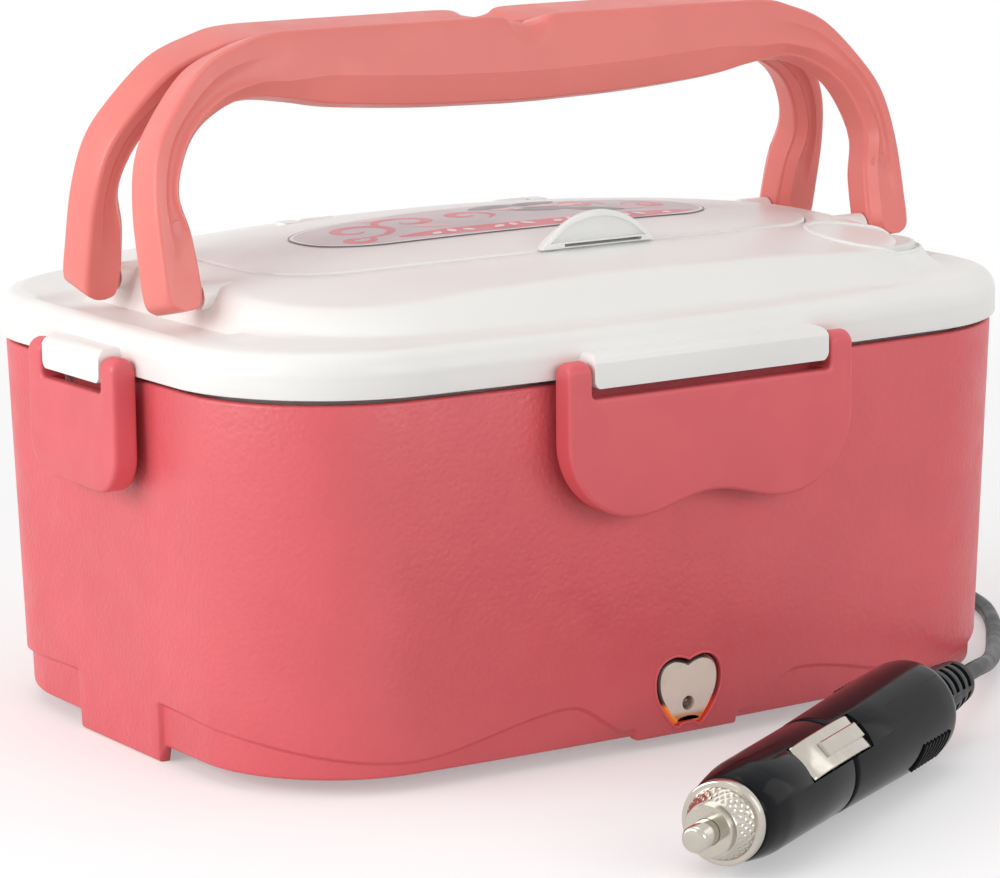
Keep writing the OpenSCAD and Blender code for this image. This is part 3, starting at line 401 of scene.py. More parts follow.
def srgb(*color):
    """A colour as a screen shows it, made linear."""
    shares = [c / 255 for c in color]
    return tuple(v / 12.92 if v <= 0.04045 else ((v + 0.055) / 1.055) ** 2.4 for v in shares)


def moulded(name, color, roughness, grain=0.5, depth=0.02):
    """Plain moulded plastic: faint clouding, wandering gloss and a fine grain."""
    return Paint(name, color, roughness).shade(14, 0.05).gloss(9, 0.04).grain(grain, 3, depth, 0.5)


def metal(name, color, roughness, stretch=(1, 1, 1), **sockets):
    paint = Paint(name, color, roughness, Metallic=1.0, **sockets)
    return paint.shade(5, 0.06).gloss(3, 0.06).grain(0.4, 3, 0.006, 0.15, stretch)


def lens_paint():
    """Tinted lamp window: pale in the middle, with a painted amber glow towards the roots."""
    paint = Paint("lamp_window", srgb(240, 222, 208), 0.32, Coat_Weight=0.4, Coat_Roughness=0.1)
    # painted glow: the window turns amber lower down, towards its roots
    paint.gloss(3, 0.05).tint(paint.ramp(paint.axes()["Z"], 8.8 * MM, 6.8 * MM), srgb(222, 132, 62))
    return paint.grain(1.2, 2, 0.01, 0.5)


def lens_rim_paint():
    """Bevel of the lamp window, with painted reflections, dark at the left and on top and paler at the right,
    and a painted amber glow round the roots.
    """
    paint = Paint("lamp_window_rim", srgb(62, 50, 42), 0.14, Coat_Weight=0.6, Coat_Roughness=0.06)
    axes = paint.axes()
    # painted reflection: the dark bevel turns paler towards the right
    paint.gloss(2, 0.05).tint(paint.ramp(axes["X"], 4 * MM, 8.5 * MM), srgb(190, 162, 142))
    # painted glow: amber round the roots, in the colour and in a faint emission
    paint.tint(paint.ramp(axes["Z"], 11.4 * MM, 9.8 * MM), srgb(224, 128, 56))
    paint.shader.inputs["Emission Color"].default_value = (*srgb(236, 134, 56), 1)
    glow = paint.ramp(axes["Z"], 11.4 * MM, 9.6 * MM, 0, 0.4)
    feed(paint.tree, paint.shader.inputs["Emission Strength"], glow)
    return paint.grain(1.6, 3, 0.05, 0.7)


INKS = {"print_grey_and_painted_shadow": (122, 104, 114), "print_white": (248, 244, 244), "print_mauve": (212, 198, 204),
        "print_pink": (230, 96, 112), "print_light": (247, 199, 207)}


def make_materials():
    paints = [
        Paint("body_pink", srgb(224, 92, 99), 0.44, Specular_IOR_Level=0.7)
        .shade(22, 0.05).gloss(7, 0.05).pebbles(1.3, 0.18, 0.6).grain(0.6, 4, 0.08, 0.6),
        Paint("clip_pink", srgb(226, 97, 104), 0.42)
        .shade(18, 0.05).gloss(6, 0.05).grain(0.7, 3, 0.05, 0.6),
        Paint("handle_coral", srgb(236, 128, 120), 0.38, Subsurface_Weight=0.08, Subsurface_Scale=0.002)
        .shade(25, 0.05).gloss(8, 0.05).grain(0.6, 3, 0.03, 0.6),
        Paint("lid_white", srgb(243, 242, 239), 0.34, Specular_IOR_Level=0.4)
        .shade(30, 0.02).gloss(12, 0.04).grain(9, 2, 0.02, 0.5),
        Paint("clear_cover", srgb(240, 240, 238), 0.34)
        .shade(26, 0.03).gloss(8, 0.03).grain(11, 2, 0.02, 0.5),
        Paint("plug_black", (0.004, 0.0045, 0.006), 0.13, Specular_IOR_Level=0.1)
        .gloss(6, 0.05).grain(2.2, 3, 0.025, 0.5),
        Paint("soft_black", (0.009, 0.01, 0.012), 0.4, Specular_IOR_Level=0.2)
        .gloss(3, 0.06).grain(0.5, 3, 0.03, 0.5),
        Paint("cord_grey", (0.016, 0.018, 0.022), 0.38, Specular_IOR_Level=0.2)
        .gloss(5, 0.06).grain(0.6, 3, 0.03, 0.5),
        Paint("fuse_glass", (0.8, 0.84, 0.86), 0.1, Transmission_Weight=0.8, IOR=1.5)
        .gloss(3, 0.03).grain(2, 2, 0.005, 0.3),
        Paint("lamp_smoked", srgb(112, 84, 74), 0.25, Coat_Weight=0.5)
        .shade(0.8, 0.4).gloss(1, 0.05).grain(0.5, 2, 0.01, 0.4),
        lens_paint(), lens_rim_paint(),
        moulded("liner_white", srgb(233, 230, 224), 0.45),
        moulded("silicone", srgb(232, 232, 229), 0.4, 0.8),
        moulded("ceramic", srgb(170, 130, 105), 0.75, 0.4, 0.04),
        moulded("board_green", srgb(40, 120, 70), 0.35, 1.0, 0.01),
        moulded("lead_red", srgb(150, 34, 34), 0.45),
        metal("steel", (0.62, 0.63, 0.64), 0.3, (1, 14, 14), Anisotropic=0.4),
        metal("aluminium", (0.75, 0.76, 0.77), 0.4, (1, 12, 12)),
        metal("nickel", (0.56, 0.52, 0.46), 0.17)]
    paints += [moulded(name, srgb(*color), 0.32, 1.0, 0.01) for name, color in INKS.items()]
    return {paint.name: paint.material for paint in paints}


MATERIAL = make_materials()

# ---------- the lead, from the gland to the plug
CORD_D, LEAD_LENGTH = 4.4, 1.385        # the length is in metres
LOW, HIGH = CORD_D / 2, CORD_D * 1.5
COIL_X, COIL_Y = 10, 128
COIL_RADII = (29.4, 25, 20.6, 20.6, 25, 29.4)            # of each turn: inward on top, then outward below
COIL_HEIGHTS = (HIGH, HIGH, HIGH, LOW, LOW, LOW)
COIL_END, STEP_TURN = 1980, 40          # degrees of the whole coil, and of the way from one ring to the next
PLUG_X, PLUG_Y, PLUG_HEADING, PLUG_L, PLUG_R = -72.5, -180, 28.3, 150, 12.6


def in_plug(t):
    """Point on the plug's axis, t from its tip."""
    a = math.radians(PLUG_HEADING)
    return PLUG_X + t * math.cos(a), PLUG_Y + t * math.sin(a), PLUG_R


REAR_ROUTE = [(GLAND_X, GLAND_END_Y, GLAND_Z), (60, 113, 12.4), (58.5, 126, 9.4), (51, 142, 7.4),
              (38, 153, 6.8), (24, 157, 6.6)]
FRONT_ROUTE = [(32, 98, 2.2), (58, 97, 2.2), (84, 94, 2.2), (108, 86, 2.2), (128, 71, 2.2), (142, 51, 2.2),
               (150, 28, 2.2), (152, 5, 2.2), (147, -16, 2.2), (136, -34, 2.2), (122, -51, 2.4),
               (106, -69, 4.6), (91, -84, 7.6), (76, -96.5, 10.6), in_plug(PLUG_L)]


def coil_point(turned_by):
    """Point of the coil after so many degrees."""
    lap = int(turned_by // 360)
    after = min(lap + 1, len(COIL_RADII) - 1)
    t = eased((turned_by % 360 - 360 + STEP_TURN) / STEP_TURN)
    r, z = (row[lap] + (row[after] - row[lap]) * t for row in (COIL_RADII, COIL_HEIGHTS))
    a = math.radians(90 + turned_by)
    return COIL_X + r * math.cos(a), COIL_Y + r * math.sin(a), z


def lead_points():
    """The lead's line from the wall, through the gland and round the coil, to its end inside the plug."""
    through_gland = [(GLAND_X, y, GLAND_Z) for y in (GLAND_WALL_Y, 91)]
    coil = [coil_point(a) for a in range(0, COIL_END + 1, 15)]
    rear, front = spline(REAR_ROUTE + coil[:1], 4), spline(coil[-1:] + FRONT_ROUTE, 4)
    return through_gland + rear[:-1] + coil + front[1:] + [in_plug(t) for t in (130, 110, 90, 75)]


def make_lead():
    points = lead_points()
    curve = bpy.data.curves.new("lead", "CURVE")
    curve.dimensions, curve.bevel_depth, curve.bevel_resolution = "3D", CORD_D / 2 * MM, 6
    line = curve.splines.new("POLY")
    line.points.add(len(points) - 1)
    for target, p in zip(line.points, points):
        target.co = (*(v * MM for v in p), 1)
    line.use_smooth = True
    curve.materials.append(MATERIAL["cord_grey"])
    return place(add_object("lead", curve), "base", "cord_black", "cord_rear", "cord_coil", "cord_front")


lead = make_lead()

# ---------- body shell
STRAIGHT_X, STRAIGHT_Y = BODY_A - END_BOW - BODY_R, BODY_B - SIDE_BOW - BODY_R
TAB_EASE = 0.8                          # half width of the slope at a foot tab's side
TAB_STEP = np.linspace(-TAB_EASE, TAB_EASE, 9)
BODY_COLUMNS = {
    "side": np.concatenate([np.linspace(STRAIGHT_X, 19, 31), TAB_X - TAB_STEP, [10, 5, 0]]) / STRAIGHT_X,
    "end": np.concatenate([[0, 6, 12, 17], END_TAB_Y + TAB_STEP, [25, 31, 36, STRAIGHT_Y]]) / STRAIGHT_Y}
FLUSH = rounded_plan(BODY_A, BODY_B, BODY_R, **BODY_COLUMNS)
INWARD = rounded_plan(BODY_A - 1, BODY_B - 1, BODY_R - 1, **BODY_COLUMNS) - FLUSH
DRAFTED = rounded_plan(BODY_A - 1, BODY_B - 1, BODY_R, **BODY_COLUMNS) - FLUSH
FOOT_ROUND, TOP_ROUND, SLOPE = 1.1, 0.8, 1.5             # slope: height over which the recess runs out


def body_ring(inset, z):
    """Ring of the body's wall; inset and height may differ from column to column."""
    inset, z = np.broadcast_to(inset, len(FLUSH)), np.broadcast_to(z, len(FLUSH))
    ring = FLUSH + inset[:, None] * INWARD + (DRAFT * (BODY_H - z))[:, None] * DRAFTED
    return at_height(ring, z)


def body_rings():
    """Rings of the outer shell, up its outside and down its inside, with the waved recess above the foot."""
    u, v = np.abs(FLUSH[:, 0]), np.abs(FLUSH[:, 1])
    on_side, on_end = v > 60, u > 100
    long_tab = np.where(on_side, eased((TAB_X + TAB_EASE - u) / (2 * TAB_EASE)), 0)
    end_tab = np.where(on_end, eased((END_TAB_Y + TAB_EASE - v) / (2 * TAB_EASE)), 0)
    recess = RECESS * (1 - np.maximum(long_tab, end_tab))
    foot = SKIRT_Z - long_tab - SKIRT_Z * end_tab
    low = SKIRT_Z + 0.4
    rise = low + (CREST_Z - low) * eased((u - TAB_X) / (CREST_X - TAB_X))
    fall = CREST_Z + (TROUGH_Z - CREST_Z) * eased((u - CREST_X) / (TROUGH_X - CREST_X))
    corner = 0.5 * ((u - TROUGH_X) / (BODY_A - TROUGH_X) + 1 - (v - END_TAB_Y) / (BODY_B - END_TAB_Y))
    past = TROUGH_Z + (END_Z - TROUGH_Z) * eased(corner)
    wave = np.where(u < CREST_X, rise, np.where(u < TROUGH_X, fall, past))
    edge = np.maximum(np.maximum(wave, foot + 1.6) - 0.5, foot + 1.3)
    r = FOOT_ROUND
    rings = [body_ring(recess + r - r * math.sin(t), foot + r - r * math.cos(t))
             for t in np.radians((0, 30, 60, 90))]
    rings += [body_ring(recess * (1 - eased(s)), edge + SLOPE * s) for s in (0, 0.1, 0.25, 0.5, 0.75, 0.9, 1)]
    r = TOP_ROUND
    rings += [body_ring(0, z) for z in (22, 30, 45, 60, 75, BODY_H - r)]
    rings += [body_ring(r - r * math.cos(t), BODY_H - r + r * math.sin(t)) for t in np.radians((30, 60, 90))]
    return rings + [body_ring(i, z) for i, z in (
        (WALL - 0.3, BODY_H), (WALL, BODY_H - 0.3), (WALL, LEDGE_Z), (WALL + 2.6, LEDGE_Z),
        (WALL + 2.6, LEDGE_Z - 1.6), (WALL, LEDGE_Z - 4.6), (WALL, 18), (COVER_LIP, 15),
        (COVER_LIP, COVER_TOP), (COVER_SEAT, COVER_TOP), (COVER_SEAT, SKIRT_Z + 0.8), (COVER_SEAT, foot))]


def front_face(x, z):
    """Distance of the body's front face from the middle."""
    return BODY_B - DRAFT * (BODY_H - z) - SIDE_BOW * (x / (BODY_A - END_BOW)) ** 2


FRONT_Y = front_face(0, 15.5)
TOOTH_HALF = np.array(spline([
    (0, 21.2), (2, 22), (4.6, 22.3), (7.5, 21.2), (9.3, 18.8), (9.7, 15.5), (9, 12.2), (7, 8.6), (4.9, 6),
    (3.2, 4.8), (2, 5.5), (0, 5.8)], 6))
TOOTH = np.concatenate([TOOTH_HALF, TOOTH_HALF[-2:0:-1] * (-1, 1)])


def make_body():
    body = make_object("outer_body", Shape().loft(body_rings(), loop=True), ["body_pink"])
    catches = Shape()
    for clip, turned_by in CLIPS.values():
        half, out = clip.half - EAR_W - 3, clip.pivot - 3.6
        catch = Shape().box((-half, -out, CLIP_Z - 12.2), (half, 3 - out, CLIP_Z - 8.7))
        catches.join(catch.moved(turn(turned_by)))
    weld(body, catches)
    cut(body, Shape().prism(TOOTH, -FRONT_Y - 3, 10 - FRONT_Y))
    cut(body, Shape().tube([(GLAND_X, y, GLAND_Z) for y in (70, 92)], 5, 48))
    place(body, "base", "body_pink", "outer_shell")


def make_lamp_window():
    """The tooth-shaped window with its bevelled rim and the LED's hole, inside a lip on the body."""
    lip = [(x, -front_face(x, z), z) for x, z in inset_outline(TOOTH, -0.25)]
    add_piece("lamp_lip", Shape().tube(lip, 0.34, 10, loop=True), "clip_pink", "base", sharp=60)
    rows = ((1.4, 0.2), (1.28, 0.24), (0.95, 0.5), (0.62, 0.95), (0.38, 1.5), (0.24, 2.0), (0.22, 2.8))
    lens = Shape().loft([[(x, depth - FRONT_Y, z) for x, z in inset_outline(TOOTH, inset)]
                         for inset, depth in rows], mark=1)
    lens.marks[-2] = 0                  # the face at the first ring is the window's flat front
    window = make_object("lamp_window", lens, ["lamp_window", "lamp_window_rim"], 50)
    cut(window, Shape().tube([(0, y - FRONT_Y, LED_Z) for y in (-2, 5)], LED_HOLE_R, 40), 50)
    place(window, "base", "lamp_window", "indicator_lens")


make_body()
make_lamp_window()

# ---------- lid
LID_STRAIGHT = LID_B - SIDE_BOW - CORNER_R
END_COLUMNS = np.array([0, 6, 12, 18, 24, 30, 34, 36, 36.6, 37.2, 37.8, 38.4, LID_STRAIGHT])
LID_COLUMNS = {"side": np.linspace(1, 0, 49), "arc": 24, "end": END_COLUMNS / LID_STRAIGHT}
POCKET = 1.6                            # depth of the pocket at each end that the handles' feet stand in
VENT_HOLE_R = VENT_R + 0.5


def deck(x, y):
    return DECK_Z - x * x / (2 * DECK_RX) - y * y / (2 * DECK_RY)


def crown_ring(outline, drop):
    return at_height(outline, deck(outline[:, 0], outline[:, 1]) - drop)


def rim_ring(inset, z):
    return at_height(rounded_plan(LID_A - inset, LID_B - inset, CORNER_R - inset, **LID_COLUMNS), z)


def deck_ring(end_in, front_in, r, t, drop=0):
    """Ring on the deck's side, from the shelf (t 0) to the crowned deck (t 1)."""
    ring = rounded_plan(LID_A - end_in, LID_B - front_in, r, **LID_COLUMNS)
    return at_height(ring, SHELF_Z + t * (deck(ring[:, 0], ring[:, 1]) - SHELF_Z) - drop)


def window_plan(inset):
    return rounded_plan(WINDOW_A - inset, WINDOW_B - inset, WINDOW_R - inset, WINDOW_BOW, WINDOW_END_BOW,
                        **LID_COLUMNS)


def window_ring(inset, drop):
    return crown_ring(window_plan(inset), drop)


def lid_rings():
    """Rings of the lid from the well's underside, out to the rim, up over the deck and down into the well."""
    well = window_plan(WELL_IN - 1.6)
    rings = [at_height(well, 101.9), crown_ring(well, 5.9), window_ring(1, 5.9), window_ring(1, 4.3),
             window_ring(-2.2, 4.3), deck_ring(26, 24.5, 26, 1, 2.5), deck_ring(21, 12, 32, 0, 2.6)]
    rings += [rim_ring(*row) for row in ((4.5, 102.9), (2.4, 100.5), (2.4, RIM_Z), (0.5, RIM_Z),
                                         (0.15, RIM_Z + 0.15), (0, RIM_Z + 0.5), (0, 98.6))]
    outside = len(rings)
    side = spline([rim_ring(*row) for row in (
        (0, 98.6), (0, 100.6), (0.8, 103.2), (2.6, 104.9), (5.5, 105.7))], 6)
    deck_side = spline([deck_ring(*row) for row in (
        (18.1, 8.2, 34, 0), (19.2, 11.5, 33, 0.18), (20.2, 15.5, 31, 0.6), (21.4, 18.7, 30, 0.88),
        (23, 21.7, 28, 1), (26.5, 26.2, 24, 1))], 6)
    rings += side[1:] + between(side[-1], deck_side[0], (0.06, 0.12, 0.3, 0.6, 0.85, 0.93)) + deck_side
    for ring in rings[outside:]:
        x, y = np.abs(ring[:, 0]), np.abs(ring[:, 1])
        ring[:, 2] -= POCKET * eased((113.2 - x) / 2.6) * eased((x - 97.6) / 2.2) * eased((40 - y) / 4)
    flat = between(deck_side[-1][:, :2], window_plan(-0.9), (0.25, 0.5, 0.75))
    rings += [crown_ring(outline, 0) for outline in flat]
    rings += [window_ring(*row) for row in ((-0.9, 0), (-0.55, 0.15), (-0.4, 0.5), (-0.4, LANDING),
                                            (WELL_IN - 0.3, LANDING), (WELL_IN, 2.4))]
    return rings + [at_height(window_plan(inset), z) for inset, z in (
        (WELL_IN, 105), (WELL_IN + 0.5, 103.9), (WELL_IN + 1.5, WELL_FLOOR))]


def make_lid():
    lid = make_object("lid", Shape().loft(lid_rings()), ["lid_white"])
    bosses = at_vent([(104.8, 22.5), (105.6, 20.6), (106.6, 18.6), (107.8, 17.2), (109, 16.3), (109.9, 15.7),
                      (110.3, 15.3), (110.45, 14.8)], 96)
    holes = at_vent([(VENT_Z, VENT_HOLE_R), (VENT_Z + 9, VENT_HOLE_R)])
    holes.join(at_vent([(VENT_Z - 9, 3.6), (VENT_Z + 1, 3.6)], 40))
    for s in (-1, 1):
        for y in (-PIVOT_Y, PIVOT_Y):
            bosses.bar(s * (LEG_IN - 9), s * (LEG_IN - 0.5), y, PIVOT_Z, 3.3, 40)
            holes.bar(s * (LEG_IN - 8), s * (LEG_IN + 12), y, PIVOT_Z, 2.5)
        lug, x = s * (HINGE_X + 8), s * HINGE_X
        bosses.box((lug - 2.5, HINGE_Y - 2, HINGE_Z - 4), (lug + 2.5, HINGE_Y + 3, HINGE_Z + 1.2))
        holes.box((x - 5.6, HINGE_Y - 3, HINGE_Z - 3), (x + 5.6, HINGE_Y + 3, HINGE_Z + 9))
    weld(lid, bosses)
    cut(lid, holes)
    cut(lid, Shape().bar(-HINGE_X - 9, HINGE_X + 9, HINGE_Y, HINGE_Z, 1.1, 20))
    return place(lid, "lid", "lid_white", "lid_shell", "spoon_well")


def make_vent_bead(lid):
    """Bead round the vent's mouth, laid on the lid's surface."""
    tree = BVHTree.FromObject(lid, bpy.context.evaluated_depsgraph_get())
    r = VENT_R + 1.3
    bead = []
    for a in np.linspace(0, 2 * math.pi, 96, endpoint=False):
        x, y = VENT_X + r * math.cos(a), VENT_Y + r * math.sin(a)
        hit = tree.ray_cast((x * MM, y * MM, 0.2), (0, 0, -1))[0]
        bead.append((x, y, hit[2] / MM + 0.05))
    add_piece("vent_bead", Shape().tube(bead, 0.55, 10, loop=True), "lid_white", "lid", sharp=60)


def make_clip_bar(side, clip, turned_by):
    """White bar on the rim between a clip's ears, with bores for the clip's stub pins."""
    half, r = clip.half - EAR_W - BAR_GAP, 2.3
    section = ((-2.9, -3.6), (-2.9, 2.4), (-2.2, 3.6), (-1, 4.3), (5.7, 4.6), (5.7, -1), (4.3, -1),
               (3.5, -3.6))
    shape = Shape().loft([[(x, u - clip.pivot, CLIP_Z + z) for u, z in section] for x in (-half, half)])
    bar = make_object("bar_" + side, shape, ["lid_white"])
    top, low = CLIP_Z + 4.8 - r, CLIP_Z - 3.8 + r
    front = []
    for x, z, start in ((r - half, top, 180), (half - r, top, 90), (half - r, low, 0), (r - half, low, -90)):
        front += arc_points(x, z, r, r, start, start - 90, 6)
    combine(bar, Shape().prism(front, -clip.pivot - 5, -clip.pivot + 8), "INTERSECT")
    soften(bar, 0.45)
    bores = Shape()
    for s in (-1, 1):
        bores.bar(s * (half - 3.6), s * (half + 2), -clip.pivot, CLIP_Z, 1.6, 24)
    cut(bar, bores)
    bar.data.transform(turn(turned_by))
    place(bar, "lid", "lid_white")


make_vent_bead(make_lid())
for clip_side, clip_row in CLIPS.items():
    make_clip_bar(clip_side, *clip_row)


# ---------- cover of the spoon compartment
def cover_ring(inset, drop, scale=1.0):
    ring = window_plan(inset)
    ring = np.column_stack([ring[:, 0], np.minimum(ring[:, 1], HINGE_Y)]) * scale
    return crown_ring(ring, drop)


def make_cover():
    rings = [cover_ring(0.4, COVER_T, s) for s in (0.02, 0.3, 0.6, 0.9, 1)]
    rings += [cover_ring(0, 1.3), cover_ring(0, 0.1), cover_ring(0.12, -0.15), cover_ring(0.35, -0.27)]
    rings += [cover_ring(0.8, -0.3, s) for s in (1, 0.97, 0.9, 0.8, 0.65, 0.5, 0.35, 0.2, 0.02)]
    cover = make_object("window_cover_shell", Shape().loft(rings), ["clear_cover"])
    notches = Shape()
    for x in (-HINGE_X - 8, HINGE_X + 8):
        notches.box((x - 2.9, HINGE_Y - 2.5, HINGE_Z - 5), (x + 2.9, HINGE_Y + 3.5, HINGE_Z + 7))
    cut(cover, notches)
    place(cover, "window", "clear_cover", "window_cover")


def hood_section(y, wide, high, low):
    """D-shaped section of the thumb tab at one depth, whose foot is at low above the deck."""
    base = deck(0, THUMB_Y)
    radius = (THUMB_HALF ** 2 + THUMB_H ** 2) / (2 * THUMB_H)
    xs = np.linspace(1, -1, 25) * THUMB_HALF
    zs = np.sqrt(radius ** 2 - xs ** 2) - (radius - THUMB_H)
    return np.array([(x * wide, y, base + max(z * high, low)) for x, z in zip(xs, zs)]
                    + [(s * THUMB_HALF * wide, y, base + low - 0.01) for s in (-1, 1)])


def make_thumb_tab():
    """Hood on the cover, scooped from the front, with a slot at its root."""
    depths = (0, 0.08, 0.25, 0.6, 1.2, 1.8, 1.85, 3, 4.5, 6, 7.5, 9, 10.2, 11)
    shaves = (0.5, 0.28, 0.1) + (0,) * (len(depths) - 3)     # rounding of the front edge
    rings = []
    for depth, shave in zip(depths, shaves):
        wide = math.sqrt(1 - (depth / 11.6) ** 2) - shave / THUMB_HALF
        high = 1 - max(depth - 1.2, 0) / 10.6 - shave / THUMB_H
        rings.append(hood_section(THUMB_Y + depth, wide, high, 0.35 if depth < 1.82 else -1.2))
    tab = make_object("thumb_tab", Shape().loft(rings), ["clear_cover"])
    scoop = [hood_section(THUMB_Y - 1 + depth, 1 - wall / THUMB_HALF, 1 - wall / THUMB_H, 1.75)
             for depth, wall in ((0, 1.5), (1.1, 1.5), (1.35, 1.6), (1.7, 1.9), (2.1, 2.5), (2.4, 3.4),
                                 (2.55, 4.5))]
    cut(tab, Shape().loft(scoop))
    base = deck(0, THUMB_Y)
    cut(tab, Shape().box((-10, THUMB_Y - 2, base + 0.6), (13, THUMB_Y + 3.5, base + 1.35)))
    place(tab, "window", "clear_cover")


def make_cover_hinge():
    knuckles = Shape()
    for x in (-HINGE_X, HINGE_X):
        knuckles.bar(x - 4.5, x + 4.5, HINGE_Y, HINGE_Z, 1.7)
        knuckles.bar(x - 8, x + 8, HINGE_Y, HINGE_Z, 1.0, 24)
    add_piece("cover_hinge", knuckles, "clear_cover", "window")


make_cover()
make_thumb_tab()
make_cover_hinge()

# ---------- printed label on the cover
LABEL_A, LABEL_B, LABEL_R, LABEL_LIFT = 60, 21, 10, 0.46
LABEL_CELL = 4.0                        # size of the cells in which the print follows the crown
INK_LIFT, INK_T, INK_STEP = 0.06, 0.02, 0.022            # gap below the ink, its thickness, step of a layer
GREY, WHITE, MAUVE, PINK, LIGHT = range(len(INKS))


def stroke(path, widths):
    """Outline of a brush stroke along a path, with one width for each key, run smoothly between them."""
    keys = np.array(spline([(*p, w) for p, w in zip(path, widths)], 8))
    line, width = keys[:, :2], np.maximum(keys[:, 2], 0.05)
    along = unit_rows(np.gradient(line, axis=0))
    across = np.column_stack([-along[:, 1], along[:, 0]]) * width[:, None] / 2
    return np.concatenate([line + across, (line - across)[::-1]])


def curl(x, y, r, start, turns, hand):
    """Keys of a spiral that winds inward round x, y."""
    steps = np.linspace(0, 1, 11)
    angle = np.radians(start + hand * 360 * turns * steps)
    radius = r * (1 - 0.82 * steps)
    return [(x + q * math.cos(a), y + q * math.sin(a)) for q, a in zip(radius, angle)]


def leaf(x, y, length, width, heading):
    t = np.linspace(0, math.pi, 15)
    u = np.array([(0.5 - 0.5 * math.cos(a), width / length * math.sin(a) ** 1.4) for a in t])
    shape = np.concatenate([u, u[-2:0:-1] * (1, -1)]) * length
    c, s = math.cos(math.radians(heading)), math.sin(math.radians(heading))
    return shape @ np.array([[c, s], [-s, c]]) + (x, y)


def label_prints():
    """(outline, layer, ink) of every print, the painted shadow round the edge among them, in the label's own
    plane.
    """
    prints = []
    # the grey band at the very edge is a painted shadow round the label; the same grey inks the large leaves
    for layer, (inset, ink) in enumerate(((0, GREY), (0.45, WHITE), (1.3, MAUVE))):
        prints.append((rounded_plan(LABEL_A - inset, LABEL_B - inset, LABEL_R - inset, 6, 5), layer, ink))
    taper = (0.4, 1.6, 2.3, 2.8, 3.1, 3.2, 2.9, 2.5, 2.0, 1.4, 0.6)
    for row in ((-42, 2, 10.5, 240, 1.2, 1), (-25, 5, 9.5, 215, 1.15, -1), (-48, -8.5, 4.6, 20, 1.0, -1),
                (-8, 4, 7.4, 290, 1.1, 1), (30, 8, 6.5, 330, 1.15, 1), (46, 2, 6, 160, 1.1, -1)):
        prints.append((stroke(curl(*row), taper), 3, PINK))
    ribbon = [(-38, -12.2), (-26, -13.4), (-12, -15.2), (4, -16), (20, -15.6), (36, -14), (52, -11)]
    prints.append((stroke(ribbon, (1.5, 6.4, 7.2, 7.4, 7.0, 6.2, 1.5)), 3, PINK))
    large = ((-2, 12, 16, 3.6, 14), (6, 6, 18, 4.0, -12), (12, 12.5, 17, 3.8, 20), (20, 1.5, 16, 3.4, -28))
    small = ((2, 8.8, 10, 2.2, -10), (14, 9.2, 11, 2.4, 6), (22, 5.6, 9, 2.2, 35), (-34, 14.2, 9, 2.0, 10),
             (34, -4.4, 10, 2.2, 12), (-20, -6.2, 9, 2.0, 150))
    for leaves, ink in ((large, GREY), (small, LIGHT)):
        prints += [(leaf(*row), 4, ink) for row in leaves]
    for i, x in enumerate(np.linspace(-28, 42, 13)):
        y = -15.6 + 3.2 * ((x - 6) / 48) ** 2
        prints.append((leaf(x - 1.8, y - 1, 3.4 + 0.7 * (i % 2), 1.1, 30 + 50 * (i % 3)), 5, WHITE))
    return prints


def print_mesh(outline, layer, ink):
    """One print as a thin sheet on the crowned cover, at its layer's height."""
    part = bmesh.new()
    part.faces.new([part.verts.new((x, y, 0)) for x, y in outline])
    bmesh.ops.triangulate(part, faces=part.faces)
    for normal in ((1, 0, 0), (0, 1, 0)):
        for at in np.arange(-LABEL_A, LABEL_A + 1, LABEL_CELL):
            bmesh.ops.bisect_plane(part, geom=[*part.verts, *part.edges, *part.faces], dist=1e-5,
                                   plane_co=Vector(normal) * at, plane_no=normal)
    for vert in part.verts:
        x, y = vert.co[:2]
        vert.co = (x * MM, y * MM, (deck(x, y) + LABEL_LIFT + INK_LIFT + INK_STEP * layer) * MM)
    bmesh.ops.recalc_face_normals(part, faces=part.faces)
    if sum(f.normal.z for f in part.faces) < 0:
        bmesh.ops.reverse_faces(part, faces=part.faces)
    bmesh.ops.solidify(part, geom=part.faces[:], thickness=INK_T * MM)
    for face in part.faces:
        face.material_index = ink
    mesh = bpy.data.meshes.new("print")
    part.to_mesh(mesh)
    part.free()
    return mesh


def make_label():
    sheet = bmesh.new()
    for row in label_prints():
        piece = print_mesh(*row)
        sheet.from_mesh(piece)
        bpy.data.meshes.remove(piece)
    mesh = bpy.data.meshes.new("label_print")
    sheet.to_mesh(mesh)
    sheet.free()
    for ink in INKS:
        mesh.materials.append(MATERIAL[ink])
    place(add_object("label_print", mesh), "window", "decal", "window_label")


make_label()

# ---------- vent plug
VENT_CAP = [(105.2, 0.02), (105.2, 3.3), (105.4, 3.5), (110.5, 3.5), (110.5, VENT_R - 0.3),
            (110.7, VENT_R - 0.05), (111.9, VENT_R - 0.05), (112.15, 13.2), (112.28, 12.9), (112.3, 12.5),
            (112.22, 12.1), (112.0, 11.3), (111.8, 9.8), (111.66, 7), (111.6, 3.5), (111.58, 0.02)]
add_piece("vent_plug_cap", at_vent(VENT_CAP, 96), "silicone", "vent", "vent_plug")


# ---------- clips
def clip_outline(clip, top):
    """U outline of a clip from the front, clockwise: ears up to top, plate between them, rounded bottom."""
    half, rx, rz = clip.half, clip.corner_x, clip.corner_z
    ear, r, flat = half - EAR_W, 1.7, half - rx
    outline = (arc_points(half - 7.9, -4.6, 1.3, 1.3, 270, 360, 5)
               + arc_points(ear + r, top - r, r, r, 180, 90, 6)
               + arc_points(half - r, top - r, r, r, 90, 0, 6) + [(half, -2.6), (half, -clip.drop + rz + 0.5)]
               + arc_points(flat, -clip.drop + rz, rx, rz, -2, -90, 18))
    for k in range(1, 15):
        dip = clip.dip * (1 - math.cos(math.pi * k / 14)) / 2
        outline.append((flat * (1 - k / 14), -clip.drop + dip))
    outline = np.array(outline)
    return np.concatenate([outline, outline[-2::-1] * (-1, 1)])


